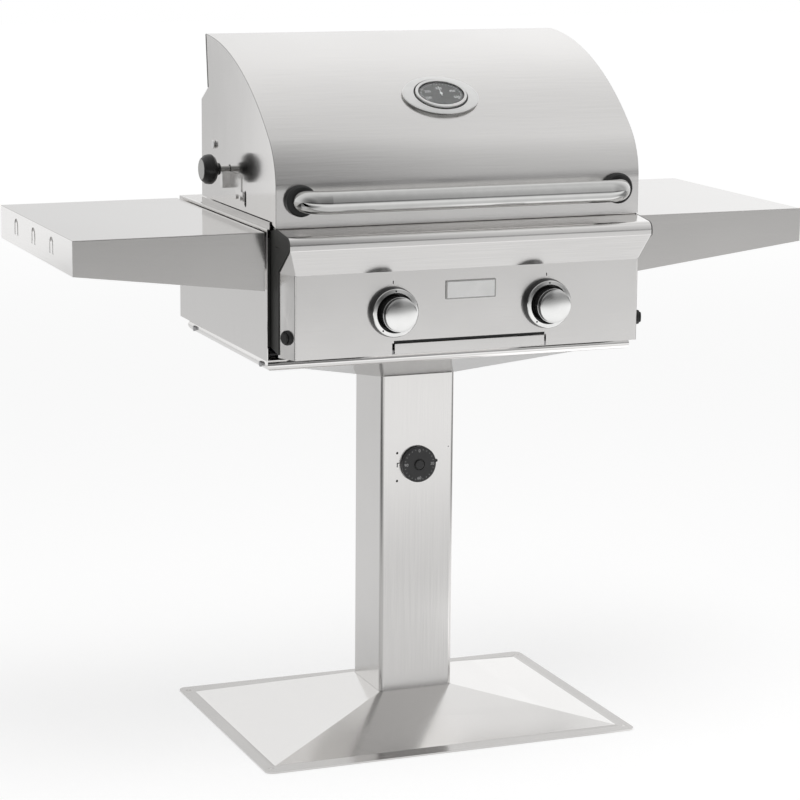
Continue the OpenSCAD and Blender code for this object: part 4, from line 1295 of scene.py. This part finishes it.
@dataclass
class Hood:
    """The hood with its handle, thermometer and spit."""

    half: float = 326.6
    front: float = -248.0
    low: float = 921.0
    hem: float = 12.0
    sheet: float = 1.5
    inside: Point = (0.0, 0.0, 0.95)
    shoulder: Flat = (-132.0, 983.0)
    shoulder_r: float = 116.0
    crown: Flat = (148.01, 702.99)
    crown_r: float = 512.0
    back: Path = ((121.5, 1214.3), (110.5, 1122.6))
    handle_r: float = 18.7
    handle_bend: float = 40.0
    handle_half: float = 285.0
    handle_y: float = -290.0
    handle_z: float = 967.0
    washer: Turning = Turning(
        ((16.2, 0), (26, 0), (26, 9), (23.2, 12), (16.2, 12)), 1.2, 3, count=96
    )
    gauge_at: Point = (0.0, -149.3, 1119.8)
    gauge_tilt: float = 35.5
    skirt: Rings = (
        (64.0, 43.8, -6.0), (65.0, 44.6, -5.6), (66.6, 46.2, 3.0), (62.0, 42.6, 3.2),
        (62.6, 43.0, 0.0),
    )
    bezel: Rings = (
        (62.2, 43.0, 2.6), (67.0, 46.8, 2.8), (68.0, 47.7, 3.4), (67.9, 47.6, 4.2),
        (66.6, 46.6, 4.9), (49.6, 40.2, 6.0), (48.6, 39.3, 6.1), (48.0, 38.7, 5.8),
        (47.7, 38.4, 4.2),
    )
    seal: Rings = (
        (48.0, 38.6, 3.6), (47.9, 38.5, 5.4), (47.0, 37.4, 5.7), (45.2, 35.4, 5.7),
        (45.2, 35.4, 3.6),
    )
    ring: Rings = (
        (45.4, 35.6, 5.0), (45.4, 35.6, 8.6), (44.8, 34.9, 9.3), (41.8, 30.9, 9.6),
        (41.0, 30.0, 9.3), (40.6, 29.6, 8.0),
    )
    gasket: Rings = ((40.7, 29.7, 5.0), (40.7, 29.7, 9.0), (39.6, 28.6, 9.0), (39.4, 28.4, 5.0))
    dial: Rings = (
        (3.9, 3.9, -70.0), (3.9, 3.9, 4.0), (40.8, 29.6, 4.0), (40.8, 29.6, 6.2),
        (40.0, 29.0, 6.5), (30.0, 18.0, 6.5),
    )
    glass: Rings = (
        (30.0, 18.0, 8.6), (39.3, 28.3, 8.6), (39.3, 28.3, 9.0), (38.9, 27.9, 9.3),
        (20.0, 12.0, 9.6),
    )
    dial_marks: tuple[str, ...] = ("100", "200", "300", "400", "500")
    dial_ticks: int = 28
    spit_at: Point = (-343.6, -8.0, 995.0)
    spit_knob: Turning = Turning((
        (4.5, 0), (10, 0), (10.5, 4), (14, 7), (21, 10), (25.2, 15), (25.5, 20), (24.2, 26),
        (19.6, 31.2), (17.9, 32.6), (16.6, 32.2), (0, 32.2),
    ), 2.0, 4, False, 72)
    spit_face: Turning = Turning(
        ((0, 31.8), (17.2, 31.8), (17.4, 32.6), (16.8, 33.0), (0, 33.0)), 0.3, 2, False, 72
    )

    def build(self) -> None:
        """Build and dress the hood."""
        self.build_skin()
        refined("hood", "steel", Finish.SIDE, 0.3, "hood_side_left", "hood_side_right")
        self.build_handle()
        self.build_gauge()
        refined("spit", "chrome", Finish.CHROME_DARK, 0.3, "spit_rod")
        self.build_spit_knob()
        refined("hood", "steel", Finish.PANEL, 0.3, "spit_brackets")

    def build_skin(self) -> None:
        """One sheet, folded in at the bottom, rolled over the top and folded down at the back."""
        run = rounded([(self.front + self.hem, self.low), (self.front, self.low),
            (self.front, self.shoulder[1])], 2.4, 4)
        run += arc(self.shoulder, self.shoulder_r, 180, 135, 40)[1:]
        run += arc(self.crown, self.crown_r, 135, 93.6, 60)[1:]
        run += rounded([run[-1], *self.back], 2.6, 5)[1:]
        obj = trace("hood_skin_finished", Plane.YZ, run, -self.half)
        sweep(Plane.YZ, 2 * self.half)
        away_from(obj, self.inside)
        wall(obj, self.sheet)
        ease(obj, 0.7, 2, 60.0)
        hand_over(obj, "hood", "steel", Finish.HOOD, "hood_skin", angle=25.0)
        # Painted shade: the skin's rolled edge faces that turn sideways get dark chrome, which
        # draws a dark line at the seam with the hood sides.
        paint_light_by_facing(obj, Finish.CHROME_DARK, lambda normal: 0.3 < abs(normal.x) < 0.97)

    def build_handle(self) -> None:
        """The bent tube and its two black washers."""
        rest_bench()
        foot_y, bend_y = (self.front + 1) * MM, (self.handle_y + self.handle_bend) * MM
        straight, z = (self.handle_half - self.handle_bend) * MM, self.handle_z * MM
        bpy.ops.mesh.primitive_circle_add(
            vertices=48, radius=self.handle_r * MM, fill_type="NOTHING",
            location=(-self.handle_half * MM, foot_y, z), rotation=(math.radians(90), 0, 0),
        )
        tube = begin("hood_handle_finished")
        extrude((0, bend_y - foot_y, 0))
        for sign in (-1, 1):
            bpy.ops.mesh.spin(steps=24, angle=math.radians(-90),
                center=(sign * straight, bend_y, z), axis=(0, 0, 1))
            if sign < 0:
                extrude((2 * straight, 0, 0))
        extrude((0, foot_y - bend_y, 0))
        close_ends()
        hand_over(tube, "hood", "chrome", Finish.SATIN_TUBE, "hood_handle", angle=40.0)
        washers = [
            self.washer.make(f"handle_washer_{sign + 1}",
                facing((sign * self.handle_half, self.front, self.handle_z)))
            for sign in (-1, 1)
        ]
        pair = joined("handle_gaskets_finished", washers)
        hand_over(pair, "hood", "black_rubber", Finish.RUBBER, "handle_gaskets")

    def build_gauge(self) -> None:
        """The oval thermometer: skirt, bezel, seal, inner ring, gasket, dial, needle and glass."""
        tilt = math.radians(self.gauge_tilt)
        place = facing(self.gauge_at, (0.0, -math.sin(tilt), math.cos(tilt)))
        for name, rings, slot, finish, nodes in (
            ("thermometer_skirt", self.skirt, "chrome", Finish.CHROME_DARK, []),
            ("thermometer_bezel_finished", self.bezel, "chrome", Finish.RING,
                ["thermometer_bezel"]),
            ("thermometer_seal", self.seal, "black_rubber", Finish.RUBBER, []),
            ("thermometer_ring", self.ring, "chrome", Finish.RING, []),
            ("thermometer_gasket", self.gasket, "black_rubber", Finish.RUBBER, []),
            ("thermometer_dial_finished", self.dial, "dark_metal", Finish.DIAL,
                ["thermometer_dial"]),
        ):
            made = stacked(name, rings, place, rings is self.dial)
            hand_over(made, "hood", slot, finish, *nodes)
        self.print_dial(place)
        refined("needle", "chrome", Finish.PRINT, 0.1, "thermometer_needle")
        glass = stacked("thermometer_glass_finished", self.glass, place, True)
        pick(glass)
        bpy.ops.object.mode_set(mode="EDIT")
        close_ends()
        hand_over(glass, "hood", "glass", Finish.GLASS, "thermometer_glass")

    def print_dial(self, place: Matrix) -> None:
        """The gauge's numbers and ticks.

        Args:
            place: The gauge's frame.
        """
        prints = []
        for i, text in enumerate(self.dial_marks):
            x, y = polar(27.5, 17.0, 200 - 55 * i)
            prints.append(lettering(f"gauge_number_{i}", text, (x, y - 3.5), 6.56, place))
        for i in range(self.dial_ticks + 1):
            angle = 214 - 248 * i / self.dial_ticks
            end, side = Vector(polar(38.5, 27.0, angle)), Vector(polar(0.42, 0.42, angle + 90))
            inner, outer = end * (0.89 if i % 7 else 0.84), end * 0.95
            outline = (inner - side, outer - side, outer + side, inner + side)
            prints.append(plate(f"gauge_tick_{i}", outline, (6.48, 6.6), place))
        hand_over(joined("thermometer_numbers", prints), "hood", "chrome", Finish.PRINT)

    def build_spit_knob(self) -> None:
        """The spit's black hand knob with its pale end face."""
        place = facing(self.spit_at, (-1, 0, 0), (0, 1, 0))
        knob = self.spit_knob.make("spit_handle_finished", place)
        hand_over(knob, "spit", "black_plastic", Finish.PLASTIC, "spit_handle", angle=40.0)
        face = self.spit_face.make("spit_handle_face", place)
        hand_over(face, "spit", "steel", Finish.CHROME_DARK)


@dataclass
class Shelves:
    """The two side shelves and their arms."""

    top: float = 914.4

    def build(self) -> None:
        """Build and dress the shelves."""
        for node in ("shelf_left", "shelf_right"):
            shelf = copy_of(node)
            fold(shelf, 1.6, 3, self.is_rim)
            ease(shelf, 0.3, 2, 50.0)
            hand_over(shelf, "root", "steel", Finish.SHELF, node)
            # Painted light: the shelf ends get a brighter copy of the steel.
            paint_light_by_facing(shelf, Finish.SHELF_END, lambda normal: abs(normal.x) > 0.9)
            # Painted shade: the shelves' front and back aprons get the darker, rougher copy of the
            # steel.
            paint_light_by_facing(shelf, Finish.APRON, lambda normal: abs(normal.y) > 0.9)
        paint(Finish.ZINC, "shelf_brackets")

    def is_rim(self, a: Vector, b: Vector) -> bool:
        """Whether an edge belongs to the rim of a shelf's top."""
        return min(a.z, b.z) > (self.top - 0.1) * MM


# ---- studio ----


class Step(NamedTuple):
    """A step of light along an axis, where |X| takes both sides alike."""

    axis: str
    start: float
    end: float
    low: float
    high: float
    slope: Slope = Slope.SOFT


@dataclass
class Studio:
    """Floor, world, lamps and camera."""

    eye: Point = (-1.7572451, -4.3720813, 1.513568)
    yaw: float = 0.3805
    pitch: float = 0.1973
    roll: float = 0.008
    focal: float = 2712.6913
    frame_px: float = 800.0
    sensor: float = 36.0
    shed: float = 0.45
    floor_size: float = 40.0
    floor_paint: float = 0.5
    floor_seen: Step = Step("", 1.0, 9.0, 0.63, 0.78)
    lamp_aim: Point = (0.0, 0.0, 0.8)
    card_x: Flat = (-1.7, -0.88)
    card_y: float = 1.5
    card_z: Flat = (0.62, 1.5)
    card_light: float = 0.88
    # By direction: front to back, right at the back, a dip in front, aside, the horizon.
    sky: tuple[tuple[Step, ...], ...] = (
        (Step("Y", -0.95, 0.6, 0.32, 0.9, Slope.EVEN),),
        (Step("X", 0.15, 0.55, -0.08, 0.18), Step("Y", 0.3, 0.9, 0.0, 1.0)),
        (Step("Z", -0.1, 0.1, 0.0, 1.0), Step("Z", 0.9, 1.0, 0.2, 0.0),
            Step("X", 0.3, 0.42, -0.5, 1.0), Step("Y", -0.35, 0.2, 1.0, 0.0)),
        (Step("|X|", 0.5, 0.9, 0.0, -0.25), Step("Y", -0.1, 0.3, 1.0, 0.0)),
        (Step("Z", -0.12, -0.06, 0.0, -0.2), Step("Z", 0.05, 0.12, 1.0, 0.0),
            Step("Y", -0.5, 0.0, 1.0, 0.0)),
    )
    # Painted light and shade on the floor, seen only in reflections, by place: a pool in front,
    # right, close in front, behind, aside, a patch, a corner.
    painted_floor_light: tuple[tuple[Step, ...], ...] = (
        (Step("Y", -9.5, -3.4, 0.0, 0.64),),
        (Step("X", 1.5, 4.0, 0.0, 0.15),),
        (Step("Y", -2.4, -0.9, 0.0, -0.3),),
        (Step("Y", -1.5, 1.0, 0.0, 0.05),),
        (Step("|X|", 0.9, 2.4, 0.0, -0.5), Step("|Y|", 0.6, 1.5, 1.0, 0.0)),
        (Step("X", 0.25, 0.45, 0.0, 0.5), Step("X", 1.3, 1.8, 1.0, 0.0),
            Step("|Y|", 0.5, 0.9, 1.0, 0.0)),
        (Step("X", -1.3, -0.8, -0.4, 0.0), Step("Y", -2.2, -1.7, 0.0, 1.0),
            Step("Y", -0.7, -0.3, 1.0, 0.0)),
    )
    # Name, place, size in metres and power in watts.
    lamps: tuple[tuple[str, Point, float, float], ...] = (
        ("top_soft", (0.5, -0.9, 4.4), 2.6, 60.0),
        ("left_soft", (-4.0, -1.5, 2.6), 2.4, 20.0),
        ("right_soft", (4.0, -2.5, 2.4), 2.4, 12.0),
    )

    def build(self) -> None:
        """Build the studio."""
        bpy.context.scene.view_settings.view_transform = "Standard"
        self.add_world()
        self.add_floor()
        self.add_lamps()
        self.add_card()
        self.add_camera()

    def add_world(self) -> None:
        """White to the camera, a studio to reflections, dimmer to the light it sheds."""
        world = bpy.data.worlds.new("studio")
        bpy.context.scene.world = world
        made = Shader(world)
        around = made.patches(made.output("TexCoord", "Generated"), self.sky)
        seen = made.blend(made.output("LightPath", "Is Glossy Ray"), self.shed, around)
        direct = made.output("LightPath", "Is Camera Ray").maths(
            "MAXIMUM", made.output("LightPath", "Is Transmission Ray"))
        background = made.tree.nodes["Background"].inputs
        made.link(made.blend(direct, seen, 1.0).socket, background["Strength"])
        background["Color"].default_value = WHITE

    def add_floor(self) -> None:
        """A pale floor that shows white and keeps the grill's soft shadow, and glows to reflections
        with painted light and shade by place.
        """
        rest_bench()
        bpy.ops.mesh.primitive_plane_add(size=self.floor_size, location=(0.0, 0.0, 0.0))
        floor = bpy.context.object
        floor.name = "studio_floor"
        made = Shader.of("floor_paint")
        grey = self.floor_paint
        made.put(Base_Color=(grey, grey, grey, 1.0), Roughness=0.9, Specular_IOR_Level=0.0)
        where = made.output("TexCoord", "Object")
        reach = made.node("VectorMath", operation="LENGTH")
        made.link(where.socket, reach.inputs[0])
        seen = Value(made, reach.outputs["Value"]).ramp(*self.floor_seen[1:])
        direct = made.output("LightPath", "Is Camera Ray") * seen
        # Painted light: the floor glows by place, to glossy rays only.
        reflected_floor_light = made.output("LightPath", "Is Glossy Ray") * made.patches(where, self.painted_floor_light)
        glow = made.node("Emission")
        made.link((direct + reflected_floor_light).socket, glow.inputs["Strength"])
        total = made.node("AddShader")
        made.link(made.body.outputs[0], total.inputs[0])
        made.link(glow.outputs[0], total.inputs[1])
        made.link(total.outputs[0], made.tree.nodes["Material Output"].inputs["Surface"])
        floor.data.materials.append(made.owner)

    def add_lamps(self) -> None:
        """Large soft lamps above and to both sides, kept out of the metal's reflections."""
        for name, place, size, power in self.lamps:
            lamp = bpy.data.lights.new(name, "AREA")
            lamp.shape = "SQUARE"
            lamp.size = size
            lamp.energy = power
            obj = bpy.data.objects.new(name, lamp)
            bpy.context.scene.collection.objects.link(obj)
            obj.visible_glossy = False
            obj.location = place
            aim = Vector(self.lamp_aim) - Vector(place)
            obj.rotation_euler = aim.to_track_quat("-Z", "Y").to_euler()

    def add_card(self) -> None:
        """A white card behind on the left that only shows in the metal."""
        rest_bench()
        middle = (sum(self.card_x) / 2, self.card_y, sum(self.card_z) / 2)
        bpy.ops.mesh.primitive_plane_add(
            size=1.0, location=middle, rotation=(math.radians(90), 0, 0))
        card = bpy.context.object
        card.name = "reflector_card"
        card.scale = (self.card_x[1] - self.card_x[0], self.card_z[1] - self.card_z[0], 1.0)
        settle()
        made = Shader.of("card_white")
        made.put(Base_Color=(0.0, 0.0, 0.0, 1.0), Roughness=1.0, Specular_IOR_Level=0.0)
        made.put(Emission_Color=WHITE, Emission_Strength=self.card_light)
        card.data.materials.append(made.owner)
        for ray in ("camera", "diffuse", "transmission", "volume_scatter", "shadow"):
            setattr(card, "visible_" + ray, False)

    def add_camera(self) -> None:
        """The camera at the photo's place."""
        level = Vector((math.sin(self.yaw), math.cos(self.yaw), 0.0)) * math.cos(self.pitch)
        forward = level - Vector((0.0, 0.0, math.sin(self.pitch)))
        right = Vector((math.cos(self.yaw), -math.sin(self.yaw), 0.0))
        turn = Matrix((right, right.cross(forward), -forward)).transposed().to_4x4()
        data = bpy.data.cameras.new("camera")
        data.sensor_width = self.sensor
        data.lens = self.focal / self.frame_px * self.sensor
        data.clip_end = 100.0
        camera = bpy.data.objects.new("camera", data)
        bpy.context.scene.collection.objects.link(camera)
        roll = Matrix.Rotation(self.roll, 4, "Z")
        camera.matrix_world = Matrix.Translation(Vector(self.eye)) @ turn @ roll
        bpy.context.scene.camera = camera


def main() -> None:
    """Build every sub-assembly and the studio."""
    logging.basicConfig(level=logging.INFO, format="%(message)s")
    for assembly in (Pedestal(), Housing(), ControlPanel(), Hood(), Shelves(), Studio()):
        assembly.build()
    rest_bench()


if __name__ == "__main__":
    main()
